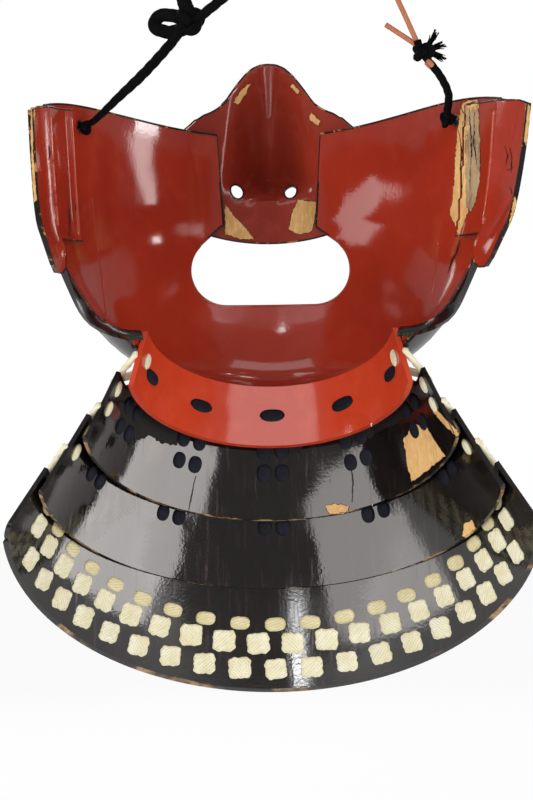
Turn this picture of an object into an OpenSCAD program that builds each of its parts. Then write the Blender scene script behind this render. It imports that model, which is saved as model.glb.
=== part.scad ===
// Samurai half mask (menpo) with a three-lame throat guard.
// The mask faces -Y, up is +Z, and the wearer's left is +X.
// The origin is the wearer's mouth line, 8 mm behind the rear edge of the cheeks.

/* [Face plate] */
// Thickness of the lacquered rawhide plate
plate_t = 2.4; // [1.8:0.1:3.5]
// Half width between the rear edges of the cheeks
plate_half_w = 76.5; // [70:0.5:82]
// Depth from the rear edge of the cheeks to the front of the plate
plate_depth = 87; // [78:1:96]
// Height of the rear top corner of the cheeks
cheek_top_z = 55; // [50:0.5:64]
// How far the walls open outwards towards the rear edge
rear_flare = 10; // [6:1:14]
// How much further the right cheek opens at its rear top than the left cheek
right_extra_flare = 4.4; // [0:0.2:6]
// Height that the cheek's top edge rises between its rear corner and the nose
cheek_rise = 4.7; // [0:0.1:6]
// Width of the mouth opening
mouth_w = 59; // [48:1:66]
// Height of the mouth opening
mouth_h = 26; // [20:1:30]
// Height of the mouth opening's centre
mouth_z = 0.5; // [-2:0.5:2]
// Width of the gap for the nose piece at the top of the cheeks
nose_gap_top_w = 42; // [34:1:46]
// Width of the gap for the nose piece at the mouth
nose_gap_low_w = 32; // [28:1:42]
// Height of the corners from which the gap widens into the mouth opening
mouth_corner_z = 17; // [14:0.5:22]
// Width of the jaw edge's outward turned lip
jaw_lip_w = 1.4; // [0.8:0.1:4]
// Bend radius of the jaw lip
jaw_lip_r = 1; // [0.8:0.1:2.5]
// Diameter of the cord holes in the cheeks
cord_hole_d = 3.8; // [3:0.1:5]

/* [Nose piece] */
// Thickness of the nose piece
nose_t = 2; // [1.6:0.1:3]
// Height of the nose piece's peak
nose_peak_z = 77; // [72:1:82]
// Height of the nose piece's lower edge over the mouth, in the middle
nose_low_z = 10.7; // [9:0.1:15]
// Width of the nose piece over the cheeks
nose_w = 58; // [52:1:64]
// How far the nose tip stands out of the plate
nose_out = 24; // [16:1:28]
// Height of the nose tip
nose_tip_z = 36; // [32:1:42]
// Diameter of a nostril
nostril_d = 6; // [3:0.5:6]
// How far the nostrils lie to the left of the middle
nostril_shift = 2.1; // [0:0.1:3]
// Gap between the nose piece and the cheeks that it covers
nose_gap = 0.3; // [0.3:0.05:0.8]

/* [Ear flanges] */
// Thickness of an ear flange
flange_t = 1.5; // [1.2:0.1:2.5]
// Height of the ridges along the flange
flange_ridge = 1.2; // [0.4:0.1:1.6]
// Width of the strip that lies inside the cheek
flange_seat_w = 22; // [12:1:24]
// Width of the part that stands out behind the cheek
flange_out_w = 15.5; // [10:0.5:22]
// Angle that the left flange turns outwards
left_flange_turn = 3; // [0:1:40]
// Angle that the right flange turns outwards
right_flange_turn = 11; // [0:1:40]
// Height of the flange's top at its rear edge
flange_top_z = 53; // [46:0.5:54]
// Height of the lower end of the strip inside the cheek
flange_seat_z = 9; // [4:1:20]
// Height of the flange's lowest point
flange_low_z = -3; // [-6:1:4]

/* [Throat guard] */
// Forward tilt of the throat guard's rings
guard_tilt = 30; // [24:1:34]
// Inner radius of the neck band at its top
waist_r = 44; // [41:1:48]
// Distance of the throat ring's centre in front of the origin
waist_forward = 42; // [38:1:46]
// Distance of the throat ring's centre below the origin
waist_drop = 22.6; // [20:0.2:26]
// Height of the neck band below the face plate
band_h = 20; // [17:1:22]
// Height of the neck band's rim inside the face plate
band_rim_h = 2; // [1:0.2:2.4]
// Thickness of the neck band
band_t = 1.8; // [1.2:0.1:2.5]
// How much wider the neck band is at its lower edge
band_flare = 4.5; // [2:0.5:8]
// Half angle that the neck band covers
band_span = 86; // [84:1:88]
// Thickness of a lame
lame_t = 1.6; // [1.2:0.1:2]
// Height of the upper lame along its slope
upper_lame_h = 29.2; // [27:0.2:32]
// Height of the middle lame along its slope
middle_lame_h = 34.4; // [31:0.2:37]
// Height of the lower lame along its slope, in the middle
lower_lame_h = 47; // [44:0.5:50]
// Flare of the upper lame
upper_lame_flare = 22.5; // [20:0.5:25]
// Flare of the middle lame
middle_lame_flare = 27.7; // [26:0.1:29]
// Flare of the lower lame
lower_lame_flare = 30; // [29:0.5:33]
// How much less high the lower lame is at its ends
lower_lame_rise = 18; // [4:1:20]
// Distance from the neck band's lower edge out to the upper lame's top
lame_standoff = 2.8; // [2.4:0.1:5]
// How far the upper lame's top lies above the neck band's lower edge
band_overlap = 5.5; // [4:0.5:7]
// Gap between one lame and the next where they overlap
lame_gap = 1.5; // [1.4:0.1:2]
// Length that one lame overlaps the next
lame_overlap = 11; // [8:1:14]
// Half angle that a lame covers
lame_span = 86; // [84:1:88]
// Radius of a lame's lower corners
lame_corner_r = 3; // [2:0.5:8]
// Diameter of the rolled lower edge
lame_bead_d = 1.9; // [1.8:0.1:2]

/* [Lacing] */
// Width of a flat lace
lace_w = 4.8; // [3:0.1:6]
// Thickness of a flat lace
lace_t = 1.1; // [0.6:0.1:1.6]
// Distance between the two laces of a column
lace_pitch = 6.6; // [6.2:0.1:8]
// Distance of the first row of lace holes below a lame's top edge
lace_row_first = 4.4; // [4:0.1:6]
// Distance between the two rows of lace holes
lace_row_pitch = 8.3; // [7:0.1:9]
// Angle between the columns of lacing on the lames
lace_column_angle = 32.5; // [30:0.5:33]
// Angle between the columns of lacing on the neck band
band_column_angle = 34; // [32:0.5:34]
// Angle of the edge laces on the lames
lace_edge_angle = 81; // [80:0.5:82]
// Diameter of a lace hole
lace_hole_d = 2.6; // [1.8:0.1:3]
// Height of the oval stitches above the lower lame's edge
oval_row_rise = 23.7; // [23:0.1:25]
// Height of the upper row of cross stitches above that edge
middle_cross_rise = 16.6; // [16:0.1:17.5]
// Height of the lower row of cross stitches above that edge
lower_cross_rise = 7.3; // [6.5:0.1:9]
// Number of stitches in a row along the lower lame
stitch_count = 19; // [9:2:21]
// Length of an oval stitch
stitch_l = 7.9; // [6:0.1:8.4]
// Width of a cross stitch
cross_w = 8.6; // [6:0.1:9]
// Clearance between a stitch or lace and the plate that it lies on
seat_gap = 0.15; // [0.1:0.05:0.3]

/* [Cords] */
// Diameter of the black braided cords
cord_d = 3.6; // [2.5:0.1:5]
// Diameter of the hide thong
thong_d = 2; // [1.5:0.1:3]
// Diameter of a cheek knot
cheek_knot_d = 4.8; // [4.5:0.1:7]
// Diameter of the slip knot on the left cord
slip_knot_d = 12; // [10:0.5:14]
// Diameter of the knot that ties the thong to the right cord
right_knot_d = 7; // [6:0.5:9]
// Diameter of the knot that the mask hangs from
hanging_knot_d = 8; // [6:0.5:10]
// Length of the right cord's frayed end
tassel_l = 9; // [6:0.5:12]

/* [Hidden] */
$fn = 48;

RED = "#9c2f20";
DARK_RED = "#6e241b";
BLACK = "#17110f";
NAVY = "#20212c";
CREAM = "#ece4b8";
CORD_BLACK = "#19181c";
HIDE = "#b8683c";

// Lacing columns from the wearer's right to left, the outer two along the edges
COLUMNS = ["edge_right", "far_right", "right", "centre", "left", "far_left", "edge_left"];
LEVELS = ["neck", "upper", "middle"];
function lace_node(column, level) = str("lace_", COLUMNS[column], "_", LEVELS[level]);
LACE_NODES = [for (level = [0:2]) for (column = [0:6]) lace_node(column, level)];

function mix(a, b, f) = a + (b - a) * f;
function clamp(f) = min(max(f, 0), 1);
function smooth(f) = let (c = clamp(f)) c * c * (3 - 2 * c);
function bell(f) = abs(f) < 1 ? (1 + cos(180 * f)) / 2 : 0;
function unit(v) = v / norm(v);

// A closed shell between two grids of points, grid[column][row]. Columns run towards +X
// and rows run down, seen from the outer grid's side.
module shell(inner, outer) {
    columns = len(inner);
    rows = len(inner[0]);
    layer = columns * rows;
    points = concat([for (c = inner) for (p = c) p], [for (c = outer) for (p = c) p]);
    function at(c, r, o) = o * layer + c * rows + r;
    function quad(a, b, c, d) = [[a, b, c], [a, c, d]];
    last_c = columns - 1;
    last_r = rows - 1;
    faces = concat(
        [for (c = [0:last_c - 1]) for (r = [0:last_r - 1])
            for (f = quad(at(c, r, 1), at(c + 1, r, 1), at(c + 1, r + 1, 1), at(c, r + 1, 1))) f],
        [for (c = [0:last_c - 1]) for (r = [0:last_r - 1])
            for (f = quad(at(c, r, 0), at(c, r + 1, 0), at(c + 1, r + 1, 0), at(c + 1, r, 0))) f],
        [for (c = [0:last_c - 1])
            for (f = quad(at(c + 1, 0, 1), at(c, 0, 1), at(c, 0, 0), at(c + 1, 0, 0))) f],
        [for (c = [0:last_c - 1])
            for (f = quad(at(c, last_r, 1), at(c + 1, last_r, 1), at(c + 1, last_r, 0),
                          at(c, last_r, 0))) f],
        [for (r = [0:last_r - 1])
            for (f = quad(at(0, r, 1), at(0, r + 1, 1), at(0, r + 1, 0), at(0, r, 0))) f],
        [for (r = [0:last_r - 1])
            for (f = quad(at(last_c, r + 1, 1), at(last_c, r, 1), at(last_c, r, 0),
                          at(last_c, r + 1, 0))) f]
    );
    polyhedron(points = points, faces = faces);
}

// The inside of the face plate is a loft through half rings. Each ring starts and ends at the
// rear edge and passes round the front. The table gives every ring's share of the way from the
// top ring to the throat ring: place back, height, tilt, half width, depth, flare, cheek rise,
// and how much of the right cheek's extra flare it has.
plate_rear_y = -8;
plate_waist_r = waist_r + band_t + 0.3;
RING_SHARES = [
    [0, 0, 0.12, 0, 0, 1, 1, 1],
    [0, 0.28, 0.1, 0.03, 0, 1, 0.5, 0.75],
    [0, 0.54, 0.12, 0.08, 0, 0.95, 0.1, 0.4],
    [0.09, 0.71, 0.22, 0.21, 0.02, 0.7, 0, 0.1],
    [0.33, 0.84, 0.36, 0.37, 0.16, 0.4, 0, 0],
    [0.6, 0.94, 0.56, 0.56, 0.4, 0.15, 0, 0],
    [0.85, 0.99, 0.79, 0.81, 0.77, 0, 0, 0],
    [1, 1, 1, 1, 1, 0, 0, 0]
];
LAST_RING = len(RING_SHARES) - 1;
RINGS = [for (s = RING_SHARES) [
    mix(plate_rear_y, -waist_forward, s[0]),
    mix(cheek_top_z, -waist_drop, s[1]),
    guard_tilt * s[2],
    mix(plate_half_w, plate_waist_r, s[3]),
    mix(plate_depth, plate_waist_r, s[4]),
    rear_flare * s[5],
    cheek_rise * s[6],
    right_extra_flare * s[7]
]];
function ring_key(n) =
    n < 0 ? RINGS[0] + (RINGS[0] - RINGS[1]) * -n
    : n > LAST_RING ? RINGS[LAST_RING] + (RINGS[LAST_RING] - RINGS[LAST_RING - 1]) * (n - LAST_RING)
    : RINGS[n];
function ring_at(i) =
    let (n = floor(i), f = i - n,
         a = ring_key(n - 1), b = ring_key(n), c = ring_key(n + 1), d = ring_key(n + 2))
    0.5 * (2 * b + (c - a) * f + (2 * a - 5 * b + 4 * c - d) * f * f
           + (3 * b - a - 3 * c + d) * f * f * f);
// Point of the inside at u, from -1 at the right rear edge to 1 at the left, on ring i
function skin(u, i) =
    let (k = ring_at(i), c = cos(90 * u), forward = k[4] * c)
    [(k[3] - k[5]) * sin(90 * u) + k[5] * u * u * u - k[7] * pow(max(-u, 0), 7),
     k[0] - forward * cos(k[2]),
     k[1] - forward * sin(k[2]) + k[6] * 4 * c * (1 - c)];
// Outward normal of the plate, and its direction along the ring towards the left
function skin_normal(u, i) =
    let (e = 0.01)
    unit(cross(skin(u, i + e) - skin(u, i - e), skin(u + e, i) - skin(u - e, i)));
function skin_along(u, i) = let (e = 0.01) unit(skin(u + e, i) - skin(u - e, i));

// Raised forms of the outside: cheekbones, a rim round the mouth, and the chin
cheekbone_out = 2.4;
mouth_rim_out = 1.8;
chin_out = 3;
function mouth_distance(p) =
    norm([max(abs(p[0]) - (mouth_w - mouth_h) / 2, 0), p[2] - mouth_z]) - mouth_h / 2;
function relief(u, i, p) =
    cheekbone_out * bell((abs(u) - 0.47) / 0.3) * bell((i - 1.1) / 1.3)
    + mouth_rim_out * bell((mouth_distance(p) - 4) / 4) * smooth((mouth_z + mouth_h / 2 - p[2]) / 6)
    + chin_out * bell(u / 0.3) * bell((i - 4.4) / 1.2);
// Moves a point of the outside out to the opening that the neck band sits in
function clear_of_band(p) =
    let (y = p[1] + waist_forward, z = p[2] + waist_drop,
         c = cos(guard_tilt), s = sin(guard_tilt),
         y2 = y * c + z * s, z2 = z * c - y * s,
         r = plate_waist_r + 0.1 + max(-z2, 0) * band_flare / band_h,
         f = z2 < 4 ? max(r / norm([p[0], y2]), 1) : 1)
    [p[0] * f, y2 * f * c - z2 * s - waist_forward, y2 * f * s + z2 * c - waist_drop];
function plate_outside(u, i) =
    let (p = skin(u, i)) clear_of_band(p + skin_normal(u, i) * (plate_t + relief(u, i, p)));

// The jaw lip fades in below the ear flange
function lip_share(i) = mix(0.1, 1, smooth((i - 2.8) / 2.2));
lip_turn = 80;
function lip_point(side, step, i, outer) =
    let (share = lip_share(i), p = skin(side, i), n = skin_normal(side, i),
         t = skin_along(side, i) * side,
         turn = lip_turn * share * min(step, 2) / 2,
         radius = outer ? jaw_lip_r : jaw_lip_r + plate_t,
         run = step > 2 ? jaw_lip_w * share : 0)
    p + n * (jaw_lip_r + plate_t) + (t * sin(turn) - n * cos(turn)) * radius
    + (n * sin(turn) + t * cos(turn)) * run;

PLATE_COLUMNS = 50;
PLATE_ROWS = 30;
plate_stations = concat(
    [for (k = [3:-1:1]) [-1, k]],
    [for (c = [0:PLATE_COLUMNS]) [mix(-1, 1, c / PLATE_COLUMNS), 0]],
    [for (k = [1:3]) [1, k]]
);
function plate_grid(outer) = [for (s = plate_stations) [for (r = [0:PLATE_ROWS])
    let (i = LAST_RING * r / PLATE_ROWS)
    s[1] > 0 ? lip_point(s[0], s[1], i, outer) : outer ? plate_outside(s[0], i) : skin(s[0], i)]];

module mouth_outline() {
    nose_gap_top_z = nose_peak_z;
    union() {
        square_w = mouth_w - mouth_h;
        translate([-square_w / 2, mouth_z - mouth_h / 2]) square([square_w, mouth_h]);
        corner_x = mix(nose_gap_low_w, nose_gap_top_w,
                       (mouth_corner_z - mouth_z) / (nose_gap_top_z - mouth_z)) / 2;
        for (side = [-1, 1]) hull() {
            translate([side * square_w / 2, mouth_z]) circle(d = mouth_h);
            translate([side * (corner_x - 1), mouth_z]) square([2, mouth_corner_z - mouth_z]);
        }
        polygon([[-nose_gap_low_w / 2, mouth_z], [nose_gap_low_w / 2, mouth_z],
                 [nose_gap_top_w / 2, nose_gap_top_z], [-nose_gap_top_w / 2, nose_gap_top_z]]);
    }
}

// Turns +Z of the children to a direction
module point_to(place, direction) {
    translate(place)
        rotate([0, acos(direction[2]), atan2(direction[1], direction[0])])
            children();
}

// The cord holes lie near the cheeks' top edge
cord_hole_u = 0.765;
cord_hole_i = 0.3;
function cord_hole_place(side) = skin(side * cord_hole_u, cord_hole_i);
function cord_hole_axis(side) = skin_normal(side * cord_hole_u, cord_hole_i);

module face_plate() {
    color(RED) difference() {
        shell(plate_grid(false), plate_grid(true));
        translate([0, -plate_depth * 0.6, 0])
            rotate([90, 0, 0])
                linear_extrude(plate_depth) mouth_outline();
        for (side = [-1, 1])
            point_to(cord_hole_place(side), cord_hole_axis(side))
                cylinder(h = 5 * plate_t, d = cord_hole_d, center = true);
    }
}

// The nose piece lies on the outside of the cheeks and covers the gap between them
nose_u = asin(nose_w / 2 / (plate_half_w - rear_flare)) / 90;
nose_root_z = nose_peak_z + 8;
nose_half_w = 18;
nose_bridge_half_w = 13;
nose_under_h = 10;
nose_waist = 0.14;
nose_wing_z = 51.5;
function nose_ring(z) =
    let (top = skin(0, 0)[2], low = skin(0, 2)[2]) 2 * (z - top) / (low - top);
nose_wing_drop = 5;
function nose_top(x) =
    nose_wing_z + (nose_peak_z - nose_wing_z) / (1 + pow(abs(x) / 13, 2.6))
    - nose_wing_drop * smooth((abs(x) - 22) / 9);
function nose_low(x) = nose_low_z + 2.4 * pow(x / 20, 2);
function nose_swell(x, z) =
    let (rise = z > nose_tip_z
             ? pow(clamp((nose_root_z - z) / (nose_root_z - nose_tip_z)), 0.9)
             : smooth((z - nose_tip_z + nose_under_h) / nose_under_h),
         half = z > nose_tip_z ? mix(nose_bridge_half_w, nose_half_w, rise) : nose_half_w)
    nose_out * rise * bell(x / half);
function nose_inside(u, f) =
    let (x = nose_w / 2 * u, z = mix(nose_top(x), nose_low(x), f), i = nose_ring(z),
         waist = nose_u * (1 - nose_waist * bell((f - 0.6) / 0.45)),
         at = plate_outside(u * waist, i) + skin_normal(u * waist, i) * nose_gap)
    at - [0, nose_swell(at[0], at[2]), 0];
function nose_outside(u, f) =
    let (e = 0.01, down = nose_inside(u, f + e) - nose_inside(u, f - e),
         along = nose_inside(u + e, f) - nose_inside(u - e, f))
    nose_inside(u, f) + unit(cross(down, along)) * nose_t;
NOSE_COLUMNS = 26;
NOSE_ROWS = 34;
nostril_x = 10;
nostril_turn = 20;
module nose_piece() {
    u_at = function (c) mix(-1, 1, c / NOSE_COLUMNS);
    color(DARK_RED) difference() {
        shell([for (c = [0:NOSE_COLUMNS]) [for (r = [0:NOSE_ROWS]) nose_inside(u_at(c), r / NOSE_ROWS)]],
              [for (c = [0:NOSE_COLUMNS]) [for (r = [0:NOSE_ROWS]) nose_outside(u_at(c), r / NOSE_ROWS)]]);
        for (side = [-1, 1])
            translate([nostril_shift + side * nostril_x, -plate_depth - 12, nose_tip_z - 6])
                rotate([94, side * nostril_turn, 0]) scale([0.75, 1, 1])
                    cylinder(h = nose_out * 1.6, d = nostril_d, center = true);
    }
}

// An ear flange is a strip that lies inside the cheek's rear edge and turns out behind it
flange_seat_u = 1 - flange_seat_w / (plate_depth * PI / 2);
flange_seat_gap = 0.3;
flange_crease = 2;
FLANGE_ROWS = 16;
function ring_of_rear_z(z) =
    let (a = RINGS[1], b = RINGS[2], c = RINGS[3])
    z > b[1] ? 2 - (z - b[1]) / (a[1] - b[1]) : 2 + (b[1] - z) / (b[1] - c[1]);
flange_taper_i = ring_of_rear_z(flange_seat_z - 4);
// Columns of an ear flange from its front edge to its rear edge. Each has its zone, which is the
// seat, the crease or the part that stands out, its share of that zone's width, how much of the
// ridge it carries, its top's share of the way to the rear top, and how far its end is drawn up.
SEAT = 0;
CREASE = 1;
OUT = 2;
FLANGE_COLUMNS = [
    [SEAT, 0, 0.3, 0.1, 0], [SEAT, 0.05, 0.9, 0.1, 0], [SEAT, 0.12, 1, 0.1, 0],
    [SEAT, 0.2, 0.4, 0.1, 0], [SEAT, 0.28, 0, 0.1, 0], [SEAT, 0.4, 0.35, 0.2, 0],
    [SEAT, 0.5, 0, 0.25, 0], [SEAT, 1, 0, 0.3, 0], [CREASE, 0, 0.9, 0.45, 2],
    [OUT, 0.15, 0.5, 0.55, 0], [OUT, 0.4, 0, 0.65, 0], [OUT, 0.7, 0, 0.9, 3], [OUT, 1, 0.3, 1.6, 12]
];
function flange_top(column) = mix(cheek_top_z, flange_top_z, column[3]);
function flange_low(column) = column[0] == SEAT ? flange_seat_z : flange_low_z + column[4];
// Below the seat the strip runs on straight down, away from the jaw
function flange_point(side, turn, column, f, outer) =
    let (z = mix(flange_top(column), flange_low(column), f),
         i = min(ring_of_rear_z(z), flange_taper_i),
         u = column[0] == SEAT ? side * mix(flange_seat_u, 1, column[1]) : side,
         thick = outer ? 0 : flange_t + flange_ridge * column[2],
         n = skin_normal(u, i), t = skin_along(u, i) * side,
         seat = skin(u, i) - n * (flange_seat_gap + thick),
         out = t * cos(turn) + n * sin(turn),
         face = n * cos(turn) - t * sin(turn),
         crease = skin(u, i) - n * flange_seat_gap + t * flange_crease,
         at = column[0] == SEAT ? seat
             : column[0] == CREASE ? crease - (n + face) * thick / (1 + cos(turn))
             : crease + out * flange_out_w * column[1] - face * thick)
    [at[0], at[1], z];
module ear_flange(side, turn) {
    last = len(FLANGE_COLUMNS) - 1;
    order = [for (c = side > 0 ? [0:last] : [last:-1:0]) FLANGE_COLUMNS[c]];
    color(RED) shell(
        [for (k = order) [for (r = [0:FLANGE_ROWS]) flange_point(side, turn, k, r / FLANGE_ROWS, false)]],
        [for (k = order) [for (r = [0:FLANGE_ROWS]) flange_point(side, turn, k, r / FLANGE_ROWS, true)]]
    );
}
module left_ear_flange() ear_flange(1, left_flange_turn);
module right_ear_flange() ear_flange(-1, right_flange_turn);

// The throat guard's plates are cones on one axis. Each row gives the inside radius and the
// depth below the throat ring at the plate's top edge, its flare, and its height.
band_flare_angle = atan(band_flare / band_h);
upper_r = waist_r + band_flare + band_t + lame_standoff;
upper_d = band_h - band_overlap;
function next_top(r, d, flare, h) =
    let (s = h - lame_overlap, clear = (lame_t + lame_gap) / cos(flare))
    [r + s * sin(flare) + clear, d + s * cos(flare)];
middle_top = next_top(upper_r, upper_d, upper_lame_flare, upper_lame_h);
lower_top = next_top(middle_top[0], middle_top[1], middle_lame_flare, middle_lame_h);
CONES = [
    [waist_r, 0, band_flare_angle, band_h / cos(band_flare_angle)],
    [upper_r, upper_d, upper_lame_flare, upper_lame_h],
    [middle_top[0], middle_top[1], middle_lame_flare, middle_lame_h],
    [lower_top[0], lower_top[1], lower_lame_flare, lower_lame_h]
];
CONE_T = [band_t, lame_t, lame_t, lame_t];
function cone_r(c, s) = c[0] + s * sin(c[2]);
function cone_d(c, s) = c[1] + s * cos(c[2]);

module guard() {
    translate([0, -waist_forward, -waist_drop]) rotate([guard_tilt, 0, 0]) children();
}
// On the inside of a cone, with X round it, Y up its slope and Z outwards
module on_cone(k, angle, s) {
    c = CONES[k];
    rotate([0, 0, angle])
        translate([0, -cone_r(c, s), -cone_d(c, s)])
            rotate([90 - c[2], 0, 0]) children();
}
module sweep_round(span) {
    rotate([0, 0, -90 - span]) rotate_extrude(angle = 2 * span, $fn = 180) children();
}

// Columns 0 and 6 are the edge laces, with one lace each; the others have two side by side
function is_edge(column) = column == 0 || column == 6;
function column_angle(k, column) =
    is_edge(column) ? (column - 3) / 3 * (k == 0 ? band_edge_angle : lace_edge_angle)
    : (column - 3) * (k == 0 ? band_column_angle : lace_column_angle);
function lace_sides(column) = is_edge(column) ? [0] : [-1, 1];
function lace_angle(k, column, side, s) =
    column_angle(k, column) + asin(side * lace_pitch / 2 / cone_r(CONES[k], s));
band_edge_angle = 76;
band_row = 9;
band_edge_row = 6;
row_a = lace_row_first;
row_b = lace_row_first + lace_row_pitch;
// Heights of the lace holes down the slope of plate k
function hole_rows(k, column) =
    k == 0 ? [is_edge(column) ? band_edge_row : band_row] : k == 3 ? [row_a] : [row_a, row_b];
module at_lace_holes(k, columns) {
    for (column = columns) for (s = hole_rows(k, column)) for (side = lace_sides(column))
        on_cone(k, lace_angle(k, column, side, s), s) children();
}
module lace_holes(k) {
    at_lace_holes(k, [0:6])
        translate([0, 0, -2]) cylinder(h = lame_t + 5, d = lace_hole_d, $fn = 24);
}

module neck_band() {
    c = CONES[0];
    rim_r = waist_r - 0.4;
    color(RED) guard() difference() {
        sweep_round(band_span)
            polygon([[rim_r, band_rim_h], [rim_r + band_t, band_rim_h], [c[0] + band_t, 0],
                     [cone_r(c, c[3]) + band_t, -band_h], [cone_r(c, c[3]), -band_h], [c[0], 0]]);
        lace_holes(0);
    }
}

// Cuts the lower corner at one end of a plate
corner_bite = 0.3;
module corner_cut(k, side, s, r) {
    on_cone(k, side * lame_span, s)
        mirror([side < 0 ? 1 : 0, 0, 0])
            translate([0, 0, -4]) linear_extrude(12) difference() {
                translate([corner_bite - r, -r]) square([2 * r, 2 * r - corner_bite]);
                translate([corner_bite - r, r - corner_bite]) circle(r);
            }
}
// Point of a plate's profile at s down its slope and z out from its inside
function profile_at(k, s, z) =
    let (c = CONES[k]) [cone_r(c, s) + z * cos(c[2]), -cone_d(c, s) + z * sin(c[2])];
module lame(k) {
    h = CONES[k][3];
    b = lame_bead_d;
    difference() {
        sweep_round(lame_span)
            polygon([for (p = [[0, 0], [0, lame_t], [h - b, lame_t], [h - b * 0.6, b],
                               [h, b], [h + b / 2, b * 0.6], [h + b / 3, 0]])
                profile_at(k, p[0], p[1])]);
        lace_holes(k);
        for (side = [-1, 1]) corner_cut(k, side, h + b / 2, lame_corner_r);
    }
}
module upper_lame() color(BLACK) guard() lame(1);
module middle_lame() color(BLACK) guard() lame(2);

// The lower lame's edge is cut on a plane that dips towards the front
lower_foot_d = cone_d(CONES[3], lower_lame_h);
lower_foot_r = cone_r(CONES[3], lower_lame_h);
lower_cut_tan = lower_lame_rise / lower_foot_r;
function lower_edge_s(angle) =
    let (c = CONES[3], slope = lower_cut_tan * cos(angle))
    (lower_foot_d - lower_lame_rise + c[0] * slope - c[1]) / (cos(c[2]) - sin(c[2]) * slope);
module lower_lame() {
    end_corner_r = 2 * lame_corner_r;
    below = 2 * lower_foot_r;
    uncut_h = lower_lame_h * 1.085;
    color(BLACK) guard() difference() {
        sweep_round(lame_span)
            polygon([for (p = [[0, 0], [0, lame_t], [uncut_h, lame_t], [uncut_h, 0]])
                profile_at(3, p[0], p[1])]);
        translate([0, 0, -lower_foot_d + lower_lame_rise])
            rotate([atan(lower_cut_tan), 0, 0])
                translate([-below, -below, -below]) cube([2 * below, 2 * below, below]);
        lace_holes(3);
        for (side = [-1, 1])
            corner_cut(3, side, lower_edge_s(lame_span) + 0.5, end_corner_r);
    }
}

// Stitches: an oval pad on the inside of a plate with pegs through the lace holes
stitch_t = 0.8;
peg_d = lace_hole_d - 0.6;
module oval(l, w) {
    polygon([for (a = [0:22.5:359]) [l / 2 * cos(a), w / 2 * sin(a)]]);
}
module inner_pad(k, s, l, w) {
    hollow = pow(max(l, w) / 2, 2) / (2 * cone_r(CONES[k], s));
    translate([0, 0, -hollow - seat_gap - stitch_t])
        linear_extrude(stitch_t) oval(l, w);
}
module peg(k) {
    translate([0, 0, -seat_gap - stitch_t / 2])
        cylinder(h = CONE_T[k] + seat_gap + stitch_t / 2, d = peg_d, $fn = 24);
}
module column_stitches(k) {
    at_lace_holes(k, [1:5]) {
        inner_pad(k, row_a, 5.2, 6.2);
        peg(k);
    }
}
module edge_stitches(k) {
    at_lace_holes(k, [0, 6]) {
        inner_pad(k, row_a, 4.4, 6.2);
        peg(k);
    }
}
module neck_stitches() {
    color(NAVY) guard() {
        for (column = [1:5])
            on_cone(0, column_angle(0, column), band_row)
                inner_pad(0, band_row, lace_pitch + 2.4, 4.6);
        at_lace_holes(0, [1:5]) peg(0);
    }
}
module upper_stitches() color(NAVY) guard() column_stitches(1);
module middle_stitches() color(NAVY) guard() column_stitches(2);
module lower_stitches() color(NAVY) guard() column_stitches(3);
module neck_edge_stitches() color(CREAM) guard() edge_stitches(0);
module upper_edge_stitches() color(CREAM) guard() edge_stitches(1);
module middle_edge_stitches() color(CREAM) guard() edge_stitches(2);
module lower_edge_stitches() color(CREAM) guard() edge_stitches(3);

// Three rows of decorative stitches follow the lower lame's edge. Each row has its height
// above that edge, the angle between its stitches, and how many more than stitch_count it has.
STITCH_ROWS = [[oval_row_rise, 8.3, 0], [middle_cross_rise, 7.8, 1], [lower_cross_rise, 7.8, 0]];
function stitch_angles(row) =
    let (count = stitch_count + STITCH_ROWS[row][2])
    [for (n = [0:count - 1]) (n - (count - 1) / 2) * STITCH_ROWS[row][1]];
function stitch_s(row, angle) = lower_edge_s(angle) - STITCH_ROWS[row][0];
module oval_stitch(s) {
    inner_pad(3, s, stitch_l, stitch_l * 0.65);
    translate([0, 0, lame_t + seat_gap]) linear_extrude(stitch_t) oval(stitch_l, stitch_l * 0.65);
}
module cross_stitch(s) {
    hollow = pow(cross_w / 2, 2) / (2 * cone_r(CONES[3], s));
    translate([0, 0, -hollow - seat_gap - stitch_t])
        linear_extrude(stitch_t) square([cross_w, cross_w * 0.93], center = true);
    translate([0, 0, lame_t + seat_gap])
        linear_extrude(stitch_t) union()
            for (turn = [-45, 45]) rotate(turn) square([cross_w * 1.06, cross_w * 0.33], center = true);
}
module oval_stitch_row() {
    color(CREAM) guard() for (a = stitch_angles(0))
        on_cone(3, a, stitch_s(0, a)) oval_stitch(stitch_s(0, a));
}
module cross_row(row) {
    color(CREAM) guard() for (a = stitch_angles(row))
        on_cone(3, a, stitch_s(row, a)) cross_stitch(stitch_s(row, a));
}
module middle_cross_stitches() cross_row(1);
module lower_cross_stitches() cross_row(2);

// A lace leaves one plate's outside, passes over the next plate's top edge and lies on it
function outside_at(k, s, lift) = profile_at(k, s, CONE_T[k] + lift);
function lace_path(k, lift) =
    let (from = k == 0 ? band_edge_row : row_b,
         top_s = (CONES[k + 1][1] - CONES[k][1]) / cos(CONES[k][2]),
         over = outside_at(k + 1, 0, lift))
    [outside_at(k, from - 1.4, lift), outside_at(k, max(top_s - 2.6, from), lift),
     over + [0, lift + 0.2], outside_at(k + 1, 1.6, lift), outside_at(k + 1, row_a + 1.4, lift)];
module lace_ribbon(k) {
    path = lace_path(k, seat_gap);
    back = lace_path(k, seat_gap + lace_t);
    rotate([90, 0, -90])
        linear_extrude(lace_w, center = true)
            polygon(concat(path, [for (n = [len(back) - 1:-1:0]) back[n]]));
}
module lace(column, k) {
    angle = (column_angle(k, column) + column_angle(k + 1, column)) / 2;
    color(is_edge(column) ? CREAM : NAVY) guard()
        for (side = lace_sides(column))
            rotate([0, 0, angle]) translate([side * lace_pitch / 2, 0, 0]) lace_ribbon(k);
}

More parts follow.
